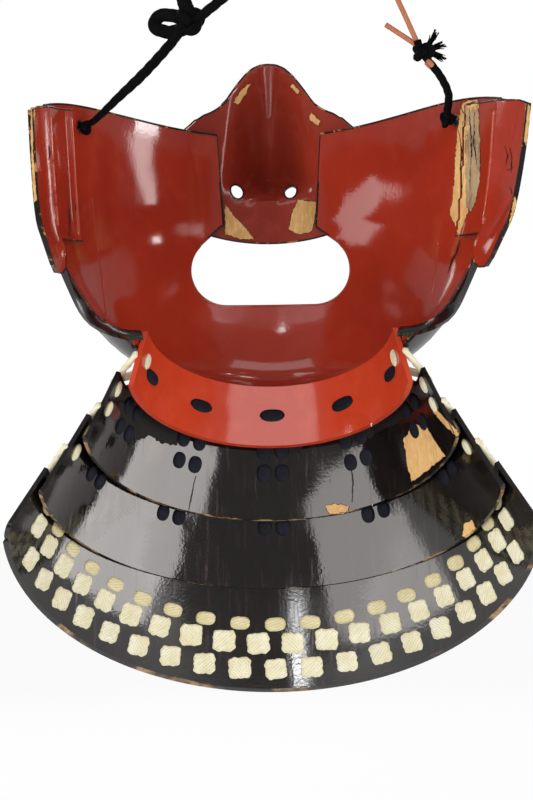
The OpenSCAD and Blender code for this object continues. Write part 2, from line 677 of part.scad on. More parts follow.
// Cords: the knots sit inside the cheeks, and the two sides meet above the mask
function cheek_knot_place(side) =
    cord_hole_place(side) - cord_hole_axis(side) * (cheek_knot_d / 2 + 0.3);
HANG = [-29, -41, 130];
SLIP = [29, -41, 86];
RIGHT_KNOT = [-54.5, -41, 75.5];
LEFT_ROUTE = [[61, -38, 52], [52, -39, 60.5], [43, -40, 69], [33, -41, 80]];
LEFT_UPPER_ROUTE = [[24, -41, 88], [8, -41, 100.5], [-10, -41, 114.5], [-26, -41, 127]];
LOOP_ROUTE = [[32, -43, 88], [37, -45, 90], [42, -46, 88], [43, -46, 84], [39, -45, 82], [32, -43, 84]];
UPPER_LOOP_ROUTE = [[25.5, -43, 90.5], [24.5, -44.5, 94.5], [27, -45.5, 98], [31, -45.5, 97.5],
                    [32.5, -44.5, 95], [30.5, -43, 92.6]];
RIGHT_ROUTE = [[-63.5, -36, 52.5], [-64, -35, 59], [-61.5, -37.5, 65.5], [-57, -40.5, 72]];
THONG_ROUTE = [[-53.5, -41, 78], [-46.5, -41, 94], [-38.5, -41, 110.5], [-31, -41, 127]];
TAIL_ROUTE = [[-53, -42, 77.5], [-47.5, -43, 81.5], [-42.5, -44, 85]];

function route_key(route, n) =
    let (last = len(route) - 1)
    n < 0 ? 2 * route[0] - route[1] : n > last ? 2 * route[last] - route[last - 1] : route[n];
function route_at(route, f) =
    let (n = min(floor(f), len(route) - 2), g = f - n,
         a = route_key(route, n - 1), b = route_key(route, n),
         c = route_key(route, n + 1), d = route_key(route, n + 2))
    0.5 * (2 * b + (c - a) * g + (2 * a - 5 * b + 4 * c - d) * g * g
           + (3 * b - a - 3 * c + d) * g * g * g);
module cord(route, d, per_point) {
    sides = 8;
    count = (len(route) - 1) * per_point;
    function place(n) = route_at(route, n / per_point);
    function ahead(n) = unit(place(min(n + 1, count)) - place(max(n - 1, 0)));
    function round_at(n) =
        let (t = ahead(n), across = unit(cross(t, [0, 1, 0])), up = cross(across, t))
        [for (k = [0:sides - 1]) place(n) + (across * cos(k * 45) + up * sin(k * 45)) * d / 2];
    points = [for (n = [0:count]) for (p = round_at(n)) p];
    faces = concat(
        [[for (k = [sides - 1:-1:0]) k]],
        [for (n = [0:count - 1]) for (k = [0:sides - 1])
            for (f = [[0, 1, 3], [0, 3, 2]])
                [for (v = f) (n + (v > 1 ? 1 : 0)) * sides + (k + v % 2) % sides]],
        [[for (k = [0:sides - 1]) count * sides + k]]
    );
    polyhedron(points = points, faces = faces);
}
module knot(place, d, direction) {
    point_to(place, unit(direction)) union() {
        sphere(d = d);
        for (z = [-1, 1])
            translate([0, 0, z * d * 0.28])
                rotate_extrude() translate([d * 0.36, 0]) circle(d = d * 0.42);
    }
}
module cheek_knot(side) {
    axis = cord_hole_axis(side);
    place = cheek_knot_place(side);
    color(CORD_BLACK) union() {
        knot(place, cheek_knot_d, axis);
        point_to(place, axis) cylinder(h = cheek_knot_d / 2 + plate_t, d = cord_hole_d - 0.8);
    }
}
module left_cheek_knot() cheek_knot(1);
module right_cheek_knot() cheek_knot(-1);
module left_cord() color(CORD_BLACK) cord(LEFT_ROUTE, cord_d, 2);
module slip_knot() color(CORD_BLACK) knot(SLIP, slip_knot_d, [-1, 0, 0.93]);
module slip_loop() color(CORD_BLACK) {
    cord(LOOP_ROUTE, cord_d, 2);
    cord(UPPER_LOOP_ROUTE, cord_d, 2);
}
module left_upper_cord() color(CORD_BLACK) cord(LEFT_UPPER_ROUTE, cord_d, 2);
module right_cord() color(CORD_BLACK) cord(RIGHT_ROUTE, cord_d, 2);
module right_knot() color(CORD_BLACK) knot(RIGHT_KNOT, right_knot_d, [3, 0, 8]);
module right_tassel() {
    color(CORD_BLACK) point_to(RIGHT_KNOT + [-2, 0, 0.5], unit([-8, 0, 1.6]))
        cylinder(h = tassel_l, d1 = 2.4, d2 = 6);
}
module thong_tail() color(HIDE) cord(TAIL_ROUTE, thong_d, 2);
module thong() color(HIDE) cord(THONG_ROUTE, thong_d, 3);
module hanging_knot() color(CORD_BLACK) knot(HANG, hanging_knot_d, [0, 0, 1]);

face_plate();
nose_piece();
left_ear_flange();
right_ear_flange();
neck_band();
upper_lame();
middle_lame();
lower_lame();
neck_stitches();
upper_stitches();
middle_stitches();
lower_stitches();
neck_edge_stitches();
upper_edge_stitches();
middle_edge_stitches();
lower_edge_stitches();
oval_stitch_row();
middle_cross_stitches();
lower_cross_stitches();
left_cheek_knot();
left_cord();
slip_knot();
slip_loop();
left_upper_cord();
right_cheek_knot();
right_cord();
right_knot();
right_tassel();
thong_tail();
thong();
hanging_knot();
for (level = [0:2]) for (column = [0:6])
    lace(column, level);
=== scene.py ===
"""Looks of the samurai half mask with its throat guard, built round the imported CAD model.

Lengths in the tables below are millimetres in the CAD's frame, and mm() turns them into metres.
"""
import math
import random

import bpy
import numpy as np
from mathutils import Matrix, Vector, noise
from mathutils.bvhtree import BVHTree
from mathutils.geometry import delaunay_2d_cdt


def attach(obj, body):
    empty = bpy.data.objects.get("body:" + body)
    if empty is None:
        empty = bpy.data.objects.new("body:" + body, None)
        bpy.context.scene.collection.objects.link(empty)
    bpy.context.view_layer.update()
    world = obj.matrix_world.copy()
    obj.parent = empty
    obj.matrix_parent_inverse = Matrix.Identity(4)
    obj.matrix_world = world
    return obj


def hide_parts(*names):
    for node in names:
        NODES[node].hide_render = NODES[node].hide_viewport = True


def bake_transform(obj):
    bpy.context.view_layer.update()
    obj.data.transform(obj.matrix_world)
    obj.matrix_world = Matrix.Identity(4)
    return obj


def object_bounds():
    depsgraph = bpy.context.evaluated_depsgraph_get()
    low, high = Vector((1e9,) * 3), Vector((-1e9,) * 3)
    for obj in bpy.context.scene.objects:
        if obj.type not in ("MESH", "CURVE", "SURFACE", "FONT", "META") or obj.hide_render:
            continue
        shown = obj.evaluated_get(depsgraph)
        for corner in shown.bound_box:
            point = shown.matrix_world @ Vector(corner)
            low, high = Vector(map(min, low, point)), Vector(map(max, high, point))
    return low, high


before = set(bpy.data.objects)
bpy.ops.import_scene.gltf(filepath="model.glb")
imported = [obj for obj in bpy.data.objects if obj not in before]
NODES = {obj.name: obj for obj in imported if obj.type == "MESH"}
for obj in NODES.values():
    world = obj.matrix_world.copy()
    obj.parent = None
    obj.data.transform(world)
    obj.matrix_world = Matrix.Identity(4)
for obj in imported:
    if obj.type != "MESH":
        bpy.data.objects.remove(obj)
cad_bounds = [list(corner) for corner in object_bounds()]
scene = bpy.context.scene
scene.view_settings.view_transform = "Standard"


def mm(*point):
    return Vector(point) * 0.001


def linear(code):
    """Linear colour of a #rrggbb code, with alpha 1."""
    parts = [int(code[n:n + 2], 16) / 255 for n in (1, 3, 5)]
    return [c / 12.92 if c < 0.04045 else ((c + 0.055) / 1.055) ** 2.4 for c in parts] + [1]


# Camera: behind the mask, level with the chin, looking forwards
CAMERA_PLACE = mm(-10.34, 1099.95, -47.5)
CAMERA_TURN = math.radians(0.6)
CAMERA_ROLL = math.radians(-0.8)
CAMERA_LENS = 145.1
PICTURE = (533, 800)
PIXELS_PER_RADIAN = CAMERA_LENS / 36 * PICTURE[1]
camera_forward = Vector((math.sin(CAMERA_TURN), -math.cos(CAMERA_TURN), 0))
camera_basis = (camera_forward.to_track_quat("-Z", "Y").to_matrix().to_4x4()
                @ Matrix.Rotation(CAMERA_ROLL, 4, "Z"))
camera = bpy.data.objects.new("camera", bpy.data.cameras.new("camera"))
scene.collection.objects.link(camera)
camera.data.lens = CAMERA_LENS
camera.data.sensor_width = 36
camera.data.clip_end = 20
camera.matrix_world = Matrix.Translation(CAMERA_PLACE) @ camera_basis
scene.camera = camera


def ray_of(px, py):
    """Direction from the camera through a place of the picture."""
    local = Vector(((px - PICTURE[0] / 2) / PIXELS_PER_RADIAN,
                    (PICTURE[1] / 2 - py) / PIXELS_PER_RADIAN, -1))
    return (camera_basis.to_3x3() @ local).normalized()


# Mesh helpers


def new_piece(name, verts, faces, material, body=None, smooth=True):
    mesh = bpy.data.meshes.new(name)
    mesh.from_pydata([tuple(v) for v in verts], [], faces)
    mesh.validate()
    mesh.update()
    obj = bpy.data.objects.new(name, mesh)
    scene.collection.objects.link(obj)
    for m in material if isinstance(material, list) else [material]:
        mesh.materials.append(m)
    mesh.polygons.foreach_set("use_smooth", [smooth] * len(mesh.polygons))
    if body:
        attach(obj, body)
    return obj


def stand_in(piece, slot, *nodes):
    """Puts a piece in the place of some CAD nodes."""
    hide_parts(*nodes)
    return piece


def length_of(path):
    return sum((path[n + 1] - path[n]).length for n in range(len(path) - 1))


def resample(points, step):
    """Points about every `step` along a line of straight pieces."""
    lengths = np.cumsum([0] + [(points[n + 1] - points[n]).length for n in range(len(points) - 1)])
    wanted = np.linspace(0, lengths[-1], max(3, round(lengths[-1] / step) + 1))
    xyz = np.array(points)
    return [Vector([np.interp(w, lengths, xyz[:, k]) for k in range(3)]) for w in wanted]


def spline(points, step):
    """Points about every `step` along a smooth curve through the given ones."""
    pts = [Vector(p) for p in points]
    ends = [2 * pts[0] - pts[1]] + pts + [2 * pts[-1] - pts[-2]]
    fine = []
    for n in range(len(pts) - 1):
        a, b, c, d = ends[n:n + 4]
        for g in np.linspace(0, 1, 24, endpoint=False):
            fine.append(0.5 * (2 * b + (c - a) * g + (2 * a - 5 * b + 4 * c - d) * g * g
                               + (3 * b - a - 3 * c + d) * g ** 3))
    return resample(fine + [pts[-1]], step)


def tube_faces(count, sides, closed):
    """Faces between rings of points, with a cap at both ends of an open row."""
    faces = []
    for n in range(count if closed else count - 1):
        m = (n + 1) % count
        for j in range(sides):
            i = (j + 1) % sides
            faces.append((n * sides + j, n * sides + i, m * sides + i, m * sides + j))
    if not closed:
        faces.append(tuple(range(sides - 1, -1, -1)))
        faces.append(tuple((count - 1) * sides + j for j in range(sides)))
    return faces


def braid(path, width, thick, flat=(0, 1, 0), closed=False, ripple=0.09, pitch=None, sides=20,
          taper=0, thin_start=0.0):
    """Vertices and faces of a braided cord along a path: crossing strands ripple its surface. taper
    narrows both ends, and thin_start draws in the first fifth."""
    pitch = pitch or width * 1.1
    flat = Vector(flat)
    verts = []
    count = len(path)
    run = 0
    for n, p in enumerate(path):
        before = path[(n - 1) % count] if closed or n else path[n]
        after = path[(n + 1) % count] if closed or n < count - 1 else path[n]
        t = (after - before).normalized()
        across = t.cross(flat)
        across = across.normalized() if across.length > 1e-6 else t.orthogonal().normalized()
        up = across.cross(t)
        size = 1 - taper * max(0, 1 - min(n, count - 1 - n) / 3) if not closed else 1
        size *= 1 - thin_start * max(0, 1 - n / count * 5)
        for j in range(sides):
            a = 2 * math.pi * j / sides
            wave = max(math.cos(3 * a + 2 * math.pi * run / pitch),
                       math.cos(3 * a - 2 * math.pi * run / pitch))
            r = size * (1 + ripple * (wave - 0.6))
            verts.append(p + across * (math.cos(a) * width / 2 * r) + up * (math.sin(a) * thick / 2 * r))
        if n < count - 1:
            run += (path[n + 1] - p).length
    return verts, tube_faces(count, sides, closed)


def tube(path, radius, closed=False, sides=8):
    """Vertices and faces of a smooth round bead along a path."""
    count = len(path)
    verts = []
    up = None
    for n, p in enumerate(path):
        before = path[(n - 1) % count] if closed or n else p
        after = path[(n + 1) % count] if closed or n < count - 1 else p
        t = (after - before).normalized()
        up = t.orthogonal().normalized() if up is None else (up - t * up.dot(t)).normalized()
        side = t.cross(up)
        r = radius if closed else radius * min(1, 0.25 + 0.35 * min(n, count - 1 - n))
        for j in range(sides):
            a = 2 * math.pi * j / sides
            verts.append(p + (up * math.cos(a) + side * math.sin(a)) * r)
    return verts, tube_faces(count, sides, closed)


def joined(parts):
    """One vertex list and face list out of several."""
    verts, faces = [], []
    for v, f in parts:
        base = len(verts)
        verts += v
        faces += [tuple(base + i for i in face) for face in f]
    return verts, faces


def trefoil(centre, unit, axis, turn, count=150):
    """Closed path of a tight overhand knot."""
    basis = Vector(axis).normalized().to_track_quat("Z", "X").to_matrix() @ Matrix.Rotation(turn, 3, "Z")
    path = []
    for n in range(count):
        t = 2 * math.pi * n / count
        local = Vector((math.sin(t) + 2 * math.sin(2 * t), math.cos(t) - 2 * math.cos(2 * t),
                        -math.sin(3 * t))) * unit
        path.append(Vector(centre) + basis @ local)
    return path


# Materials


class Nodes:
    """Small helper that builds one material's nodes."""

    def __init__(self, name):
        self.material = bpy.data.materials.new(name)
        self.material.use_nodes = True
        self.tree = self.material.node_tree
        self.shader = self.tree.nodes["Principled BSDF"]
        self.place = self.add("ShaderNodeTexCoord").outputs["Object"]

    def add(self, kind, **values):
        node = self.tree.nodes.new(kind)
        for key, value in values.items():
            setattr(node, key, value)
        return node

    def put(self, socket, value):
        if isinstance(value, bpy.types.NodeSocket):
            self.tree.links.new(value, socket)
        else:
            socket.default_value = value

    def noise(self, scale, detail=3, rough=0.5, distortion=0, place=None):
        node = self.add("ShaderNodeTexNoise")
        self.put(node.inputs["Vector"], place or self.place)
        for key, value in (("Scale", scale), ("Detail", detail), ("Roughness", rough),
                           ("Distortion", distortion)):
            node.inputs[key].default_value = value
        return node.outputs["Fac"]

    def ramp(self, value, low, high, to_low=0.0, to_high=1.0):
        node = self.add("ShaderNodeMapRange", interpolation_type="SMOOTHSTEP")
        for key, v in (("Value", value), ("From Min", low), ("From Max", high),
                       ("To Min", to_low), ("To Max", to_high)):
            self.put(node.inputs[key], v)
        return node.outputs["Result"]

    def math(self, operation, a, b=0.0):
        node = self.add("ShaderNodeMath", operation=operation)
        self.put(node.inputs[0], a)
        self.put(node.inputs[1], b)
        return node.outputs[0]

    def mix(self, factor, a, b):
        node = self.add("ShaderNodeMix", data_type="RGBA")
        self.put(node.inputs["Factor"], factor)
        self.put(node.inputs["A"], linear(a) if isinstance(a, str) else a)
        self.put(node.inputs["B"], linear(b) if isinstance(b, str) else b)
        return node.outputs["Result"]

    def stretched(self, scale):
        node = self.add("ShaderNodeMapping")
        self.put(node.inputs["Vector"], self.place)
        node.inputs["Scale"].default_value = scale
        return node.outputs["Vector"]

    def attribute(self, name):
        return self.add("ShaderNodeAttribute", attribute_name=name).outputs["Fac"]

    def bump(self, height, distance, strength=1.0, normal=None):
        node = self.add("ShaderNodeBump")
        node.inputs["Distance"].default_value = distance
        node.inputs["Strength"].default_value = strength
        self.put(node.inputs["Height"], height)
        if normal is not None:
            self.put(node.inputs["Normal"], normal)
        return node.outputs["Normal"]

    def finish(self, **values):
        for key, value in values.items():
            self.put(self.shader.inputs[key.replace("_", " ")], value)
        return self.material


def lacquer(name, base, dark, light, rough=(0.1, 0.26), wave=0.00012, edge=None, streaks=False,
            chipped=None, ior=1.6, gloss=0.5):
    """Hand-laid lacquer: uneven thickness, cloudy colour and a glossy skin with fine dust in it."""
    n = Nodes(name)
    cloud = n.noise(16, 2, 0.5)
    fine = n.noise(120, 3, 0.6)
    colour = n.mix(n.ramp(cloud, 0.25, 0.78), base, dark)
    colour = n.mix(n.math("MULTIPLY", n.ramp(fine, 0.45, 0.8), 0.3), colour, light)
    roughness = n.ramp(n.noise(40, 2, 0.5), 0.25, 0.75, *rough)
    height = n.noise(22, 2, 0.4)
    normal = n.bump(height, wave * 14)
    if streaks:
        along = n.attribute("around")
        down = n.attribute("slope")
        vector = n.add("ShaderNodeCombineXYZ")
        n.put(vector.inputs[0], n.math("MULTIPLY", along, 0.5))
        n.put(vector.inputs[1], n.math("MULTIPLY", down, 0.045))
        streak = n.noise(1.0, 5, 0.6, place=vector.outputs[0])
        colour = n.mix(n.math("MULTIPLY", n.ramp(streak, 0.52, 0.68), 0.7), colour, light)
        roughness = n.math("ADD", roughness, n.math("MULTIPLY", n.ramp(streak, 0.5, 0.8), 0.18))
    normal = n.bump(n.noise(900, 2, 0.5), 0.00004, 0.5, normal)
    if chipped:
        bare = n.ramp(n.noise(230, 4, 0.7), 0.58, 0.62)
        colour = n.mix(bare, colour, chipped)
        roughness = n.math("ADD", roughness, n.math("MULTIPLY", bare, 0.5))
    if edge:
        worn_at = n.attribute("edge_mm")
        ragged = n.math("ADD", worn_at, n.math("MULTIPLY", n.noise(160, 4, 0.7), -1.6))
        in_places = n.ramp(n.noise(38, 3, 0.6), 0.47, 0.58)
        worn = n.math("MULTIPLY", n.ramp(ragged, -0.8, -0.55, 1.0, 0.0), in_places)
        colour = n.mix(worn, colour, edge)
        roughness = n.math("ADD", roughness, n.math("MULTIPLY", worn, 0.4))
    return n.finish(Base_Color=colour, Roughness=roughness, Normal=normal, IOR=ior,
                    Specular_IOR_Level=gloss)


def silk(name, base, dark, light, shine=0.0, groove_shade=None, gloss=0.5):
    """Braided silk: fine fibres along the strands and a soft sheen. An optional darker colour is painted
    between the strands as painted shade.
    """
    n = Nodes(name)
    fibre = n.noise(2600, 3, 0.6)
    tone = n.noise(160, 3, 0.6)
    colour = n.mix(n.ramp(tone, 0.3, 0.7), base, dark)
    colour = n.mix(n.math("MULTIPLY", n.ramp(fibre, 0.5, 0.8), 0.5), colour, light)
    # Painted shade: darker between the strands and round the pad's base.
    if groove_shade:
        colour = n.mix(n.attribute("groove_shade"), colour, groove_shade)
    normal = n.bump(fibre, 0.00018, 0.8)
    return n.finish(Base_Color=colour, Roughness=0.66, Normal=normal, Sheen_Weight=shine,
                    Sheen_Roughness=0.4, Specular_IOR_Level=gloss)


def fibrous(name, base, dark, light, rough=0.85, gloss=0.5):
    """Bare rawhide or leather with torn fibres."""
    n = Nodes(name)
    tone = n.noise(55, 5, 0.65)
    fibre = n.noise(900, 4, 0.7, place=n.stretched((1, 1, 0.25)))
    colour = n.mix(n.ramp(tone, 0.35, 0.65), base, dark)
    colour = n.mix(n.math("MULTIPLY", n.ramp(fibre, 0.45, 0.75), 0.6), colour, light)
    normal = n.bump(fibre, 0.00025, 0.9)
    return n.finish(Base_Color=colour, Roughness=rough, Normal=normal, Specular_IOR_Level=gloss)


RED = lacquer("red_lacquer", "#9c2e1b", "#862517", "#a83a28", rough=(0.07, 0.12), ior=1.5)
BAND_RED = lacquer("band_lacquer", "#c43f22", "#ae331b", "#cf5638", rough=(0.08, 0.16))
NOSE_RED = lacquer("nose_lacquer", "#93301f", "#76251a", "#a64536", rough=(0.1, 0.18), ior=1.5,
                   gloss=0.35)
BLACK = lacquer("black_lacquer", "#140f0d", "#0c0908", "#261811", rough=(0.03, 0.12), wave=0.00005,
                streaks=True, edge="#a98256")
OUTER_BLACK = lacquer("outer_lacquer", "#120e0d", "#0a0807", "#1f1512", rough=(0.06, 0.18))
EDGE = lacquer("edge_lacquer", "#150f0e", "#0c0908", "#33211a", rough=(0.2, 0.35), chipped="#a07a4c",
               gloss=0.2)
# A lighter red for the crease beads: a painted highlight along the ridges.
RIDGE_HIGHLIGHT_RED = lacquer("ridge_highlight_lacquer", "#ad4530", "#9c3826", "#c0604a", rough=(0.08, 0.16))
# The cream silks' second, darker colour is painted shade between the strands.
CREAM = silk("cream_silk", "#e3dec5", "#d7cfa8", "#edeada", shine=0.03, groove_shade="#b9ae84")
OLD_CREAM = silk("old_cream_silk", "#d6cba3", "#c6b988", "#e0d8b8", shine=0.03, groove_shade="#a89b6c")
NAVY = silk("navy_silk", "#14151f", "#0d0e15", "#1d1e2b", gloss=0.08)
CORD = silk("black_cord", "#0a0a0c", "#060607", "#131318", gloss=0.05)
MATTE_BLACK = fibrous("old_glue_black", "#0f0d0c", "#090807", "#1a1613", rough=0.7, gloss=0.15)
THONG = fibrous("hide_thong", "#b06c4e", "#a06247", "#b97757", rough=0.7, gloss=0.3)
RAWHIDE = fibrous("bare_rawhide", "#d5a969", "#b98a4c", "#ecca90")
# A darker copy of the bare rawhide: painted shade on the worn ridge's outward face.
SHADED_HIDE = fibrous("shaded_rawhide", "#a58a66", "#6f5a41", "#c8b08a")
CRACK = fibrous("dark_crack", "#24130d", "#150b08", "#3a2015", rough=0.6, gloss=0.2)

# The rigid CAD pieces
WELD_WITHIN = 0.00002
SHARPEST_SMOOTH = math.radians(34)
SHORTEST_RIM = 0.004
RIM_STEP = 0.0008


def dress(node, materials, side=None):
    """Gives a rigid CAD node its materials and smooth shading. side() picks a face's material."""
    obj = NODES[node]
    mesh = obj.data
    mesh.materials.clear()
    for m in materials:
        mesh.materials.append(m)
    for name in ("custom_normal", "sharp_face", "sharp_edge"):
        if name in mesh.attributes:
            mesh.attributes.remove(mesh.attributes[name])
    if side:
        mesh.polygons.foreach_set(
            "material_index", [side(p.center * 1000, p.normal) for p in mesh.polygons])
    mesh.polygons.foreach_set("use_smooth", [True] * len(mesh.polygons))
    weld = obj.modifiers.new("weld", "WELD")
    weld.merge_threshold = WELD_WITHIN
    split = obj.modifiers.new("crease", "EDGE_SPLIT")
    split.split_angle = SHARPEST_SMOOTH
    split.use_edge_sharp = False
    even = obj.modifiers.new("even", "WEIGHTED_NORMAL")
    even.keep_sharp = True


# The face plate's rings, as in the CAD: place back, height, tilt, half width, depth, flare, rise,
# and the right cheek's extra flare
RING_SHARES = [(0, 0, 0.12, 0, 0, 1, 1, 1), (0, 0.28, 0.1, 0.03, 0, 1, 0.5, 0.75),
               (0, 0.54, 0.12, 0.08, 0, 0.95, 0.1, 0.4), (0.09, 0.71, 0.22, 0.21, 0.02, 0.7, 0, 0.1),
               (0.33, 0.84, 0.36, 0.37, 0.16, 0.4, 0, 0), (0.6, 0.94, 0.56, 0.56, 0.4, 0.15, 0, 0),
               (0.85, 0.99, 0.79, 0.81, 0.77, 0, 0, 0), (1, 1, 1, 1, 1, 0, 0, 0)]
RING_FROM = np.array([-8, 55, 0, 76.5, 87, 0, 0, 0.0])
RING_TO = np.array([-42, -22.6, 30, 46.1, 46.1, 10, 4.7, 4.4])
RINGS = [RING_FROM + (RING_TO - RING_FROM) * np.array(s) for s in RING_SHARES]


def ring_key(n):
    if n < 0:
        return RINGS[0] - (RINGS[1] - RINGS[0]) * -n
    if n > 7:
        return RINGS[7] + (RINGS[7] - RINGS[6]) * (n - 7)
    return RINGS[n]


def skin(u, i):
    """Point of the face plate's inside in millimetres, at u from right to left on ring i."""
    n = math.floor(i)
    f = i - n
    a, b, c, d = (ring_key(n + k) for k in (-1, 0, 1, 2))
    k = 0.5 * (2 * b + (c - a) * f + (2 * a - 5 * b + 4 * c - d) * f * f
               + (3 * b - a - 3 * c + d) * f ** 3)
    angle, tilt = math.radians(90 * u), math.radians(k[2])
    c = math.cos(angle)
    return Vector(((k[3] - k[5]) * math.sin(angle) + k[5] * u ** 3 - k[7] * max(-u, 0) ** 7,
                   k[0] - k[4] * c * math.cos(tilt),
                   k[1] - k[4] * c * math.sin(tilt) + k[6] * 4 * c * (1 - c)))


REAR_EDGE = [(skin(u, i), (skin(u, i) - skin(u * 0.98, i)).normalized())
             for u in (-1, 1) for i in np.linspace(0, 7, 141)]


def towards_hollow(p, n):
    """0 on faces that look into the mask, 1 on the outside, on its edges and on the jaw's lip."""
    near, along = min(REAR_EDGE, key=lambda e: (e[0] - p).length)
    if (p - near).length < 7 and (p - near).dot(along) > -0.05:
        return 1
    inward = Vector((-p.x, -30 - p.y, max(-p.z - 30, 0) * 0.2)).normalized()
    return 0 if n.dot(inward) > 0.28 else 1


dress("face_plate", [RED, OUTER_BLACK], towards_hollow)
dress("nose_piece", [NOSE_RED, OUTER_BLACK], lambda p, n: 0 if n.y > 0.25 else 1)


def flange_side(hand):
    """Red towards the hollow, black outside, and a chipped edge between the two."""
    return lambda p, n: 0 if n.x * hand < -0.5 else 1 if n.x * hand > 0.5 else 2


dress("left_ear_flange", [RED, OUTER_BLACK, EDGE], flange_side(1))
dress("right_ear_flange", [RED, OUTER_BLACK, EDGE], flange_side(-1))


def boundary_chains(node):
    """The lines where a node's two materials meet, as chains of points."""
    mesh = NODES[node].data
    keys = {}
    index = [keys.setdefault(tuple(round(c * 2e5) for c in v.co), len(keys)) for v in mesh.vertices]
    places = {index[n]: v.co.copy() for n, v in enumerate(mesh.vertices)}
    seen = {}
    for p in mesh.polygons:
        ring = [index[v] for v in p.vertices]
        for a, b in zip(ring, ring[1:] + ring[:1]):
            seen.setdefault((min(a, b), max(a, b)), set()).add(p.material_index)
    links = {}
    for (a, b), kinds in seen.items():
        if len(kinds) == 2 and 0 in kinds and a != b:
            links.setdefault(a, set()).add(b)
            links.setdefault(b, set()).add(a)
    chains = []
    while links:
        start = next((v for v in links if len(links[v]) == 1), next(iter(links)))
        chain = [start]
        while links.get(chain[-1]):
            after = links[chain[-1]].pop()
            links[after].discard(chain[-1])
            chain.append(after)
        links = {v: w for v, w in links.items() if w}
        chains.append([places[v] for v in chain])
    return chains


def at_mouth(p):
    """1 round the mouth opening, whose edge is rounded and red, and 0 elsewhere."""
    return int(abs(p.x) < 0.034 and -0.02 < p.z < 0.0125 and p.y < -0.05)


def rim(name, node, body, radius):
    """The thick glossy line of lacquer along a plate's edge."""
    parts = []
    for chain in boundary_chains(node):
        if length_of(chain) < SHORTEST_RIM:
            continue
        closed = (chain[0] - chain[-1]).length < 1e-5
        path = resample(chain, RIM_STEP)
        if closed:
            path = path[:-1]
        parts.append(tube(path, radius, closed))
    verts, faces = joined(parts)
    piece = new_piece(name, verts, faces, [EDGE, RED], body)
    if node == "face_plate":
        piece.data.polygons.foreach_set("material_index", [at_mouth(verts[f[0]]) for f in faces])


rim("face_plate_rim", "face_plate", "mask", 0.00038)
rim("nose_rim", "nose_piece", "nose", 0.00034)
rim("left_flange_rim", "left_ear_flange", "mask", 0.0003)
rim("right_flange_rim", "right_ear_flange", "mask", 0.0003)

# The throat guard's cones, as in the CAD: inside radius and depth at the top edge, flare, height
GUARD_TILT = math.radians(30)
GUARD_PLACE = Vector((0, -42, -22.6))
WAIST_R, BAND_FLARE, BAND_H, BAND_T = 44.0, 4.5, 20.0, 1.8
LAME_T, LAME_GAP, LAME_OVERLAP = 1.6, 1.5, 11.0
HEIGHTS = [0, 29.2, 34.4, 47.0]
FLARES = [math.atan(BAND_FLARE / BAND_H), math.radians(22.5), math.radians(27.7), math.radians(30)]


def next_top(r, d, flare, h):
    s = h - LAME_OVERLAP
    clear = (LAME_T + LAME_GAP) / math.cos(flare)
    return r + s * math.sin(flare) + clear, d + s * math.cos(flare)


UPPER_TOP = (WAIST_R + BAND_FLARE + BAND_T + 2.8, BAND_H - 5.5)
MIDDLE_TOP = next_top(*UPPER_TOP, FLARES[1], HEIGHTS[1])
LOWER_TOP = next_top(*MIDDLE_TOP, FLARES[2], HEIGHTS[2])
CONES = [(WAIST_R, 0.0), UPPER_TOP, MIDDLE_TOP, LOWER_TOP]
THICK = [BAND_T, LAME_T, LAME_T, LAME_T]
LOWER_RISE = 18.0


def profile(k, s, w):
    """Radius and height of a point s down a plate's slope and w out from its inside."""
    f = FLARES[k]
    return (CONES[k][0] + s * math.sin(f) + w * math.cos(f),
            -CONES[k][1] - s * math.cos(f) + w * math.sin(f))


def guard(x, y, z):
    """From the throat guard's own frame to the mask's, in metres."""
    c, s = math.cos(GUARD_TILT), math.sin(GUARD_TILT)
    return (Vector((x, y * c - z * s, y * s + z * c)) + GUARD_PLACE) * 0.001


def on_cone(k, angle, s, w):
    r, z = profile(k, s, w)
    a = math.radians(angle)
    return guard(r * math.sin(a), -r * math.cos(a), z)


LOWER_FOOT_R, _foot_z = profile(3, HEIGHTS[3], 0)
LOWER_FOOT_D = -_foot_z
LOWER_CUT_TAN = LOWER_RISE / LOWER_FOOT_R


def lower_edge(angle):
    slope = LOWER_CUT_TAN * math.cos(math.radians(angle))
    f = FLARES[3]
    return ((LOWER_FOOT_D - LOWER_RISE + CONES[3][0] * slope - CONES[3][1])
            / (math.cos(f) - math.sin(f) * slope))


def cone_attributes(node, k):
    """Stores how far round, how far down and how far above the lower edge each point lies."""
    mesh = NODES[node].data
    c, s = math.cos(GUARD_TILT), math.sin(GUARD_TILT)
    rows = {"around": [], "slope": [], "edge_mm": []}
    for v in mesh.vertices:
        p = v.co * 1000 - GUARD_PLACE
        y, z = p.y * c + p.z * s, p.z * c - p.y * s
        angle = math.degrees(math.atan2(p.x, -y))
        r = math.hypot(p.x, y)
        f = FLARES[k]
        down = (r - CONES[k][0]) * math.sin(f) + (-z - CONES[k][1]) * math.cos(f)
        low = lower_edge(angle) if k == 3 else (HEIGHTS[k] + LAME_T * 0.5 if k else BAND_H + 0.5)
        rows["around"].append(math.radians(angle) * r)
        rows["slope"].append(down)
        rows["edge_mm"].append(max(low - down, 0))
    for name, values in rows.items():
        mesh.attributes.new(name, "FLOAT", "POINT").data.foreach_set("value", values)


for k, node in enumerate(("neck_band", "upper_lame", "middle_lame", "lower_lame")):
    cone_attributes(node, k)
dress("neck_band", [BAND_RED])
for node in ("upper_lame", "middle_lame", "lower_lame"):
    dress(node, [BLACK])

# Stitches and laces

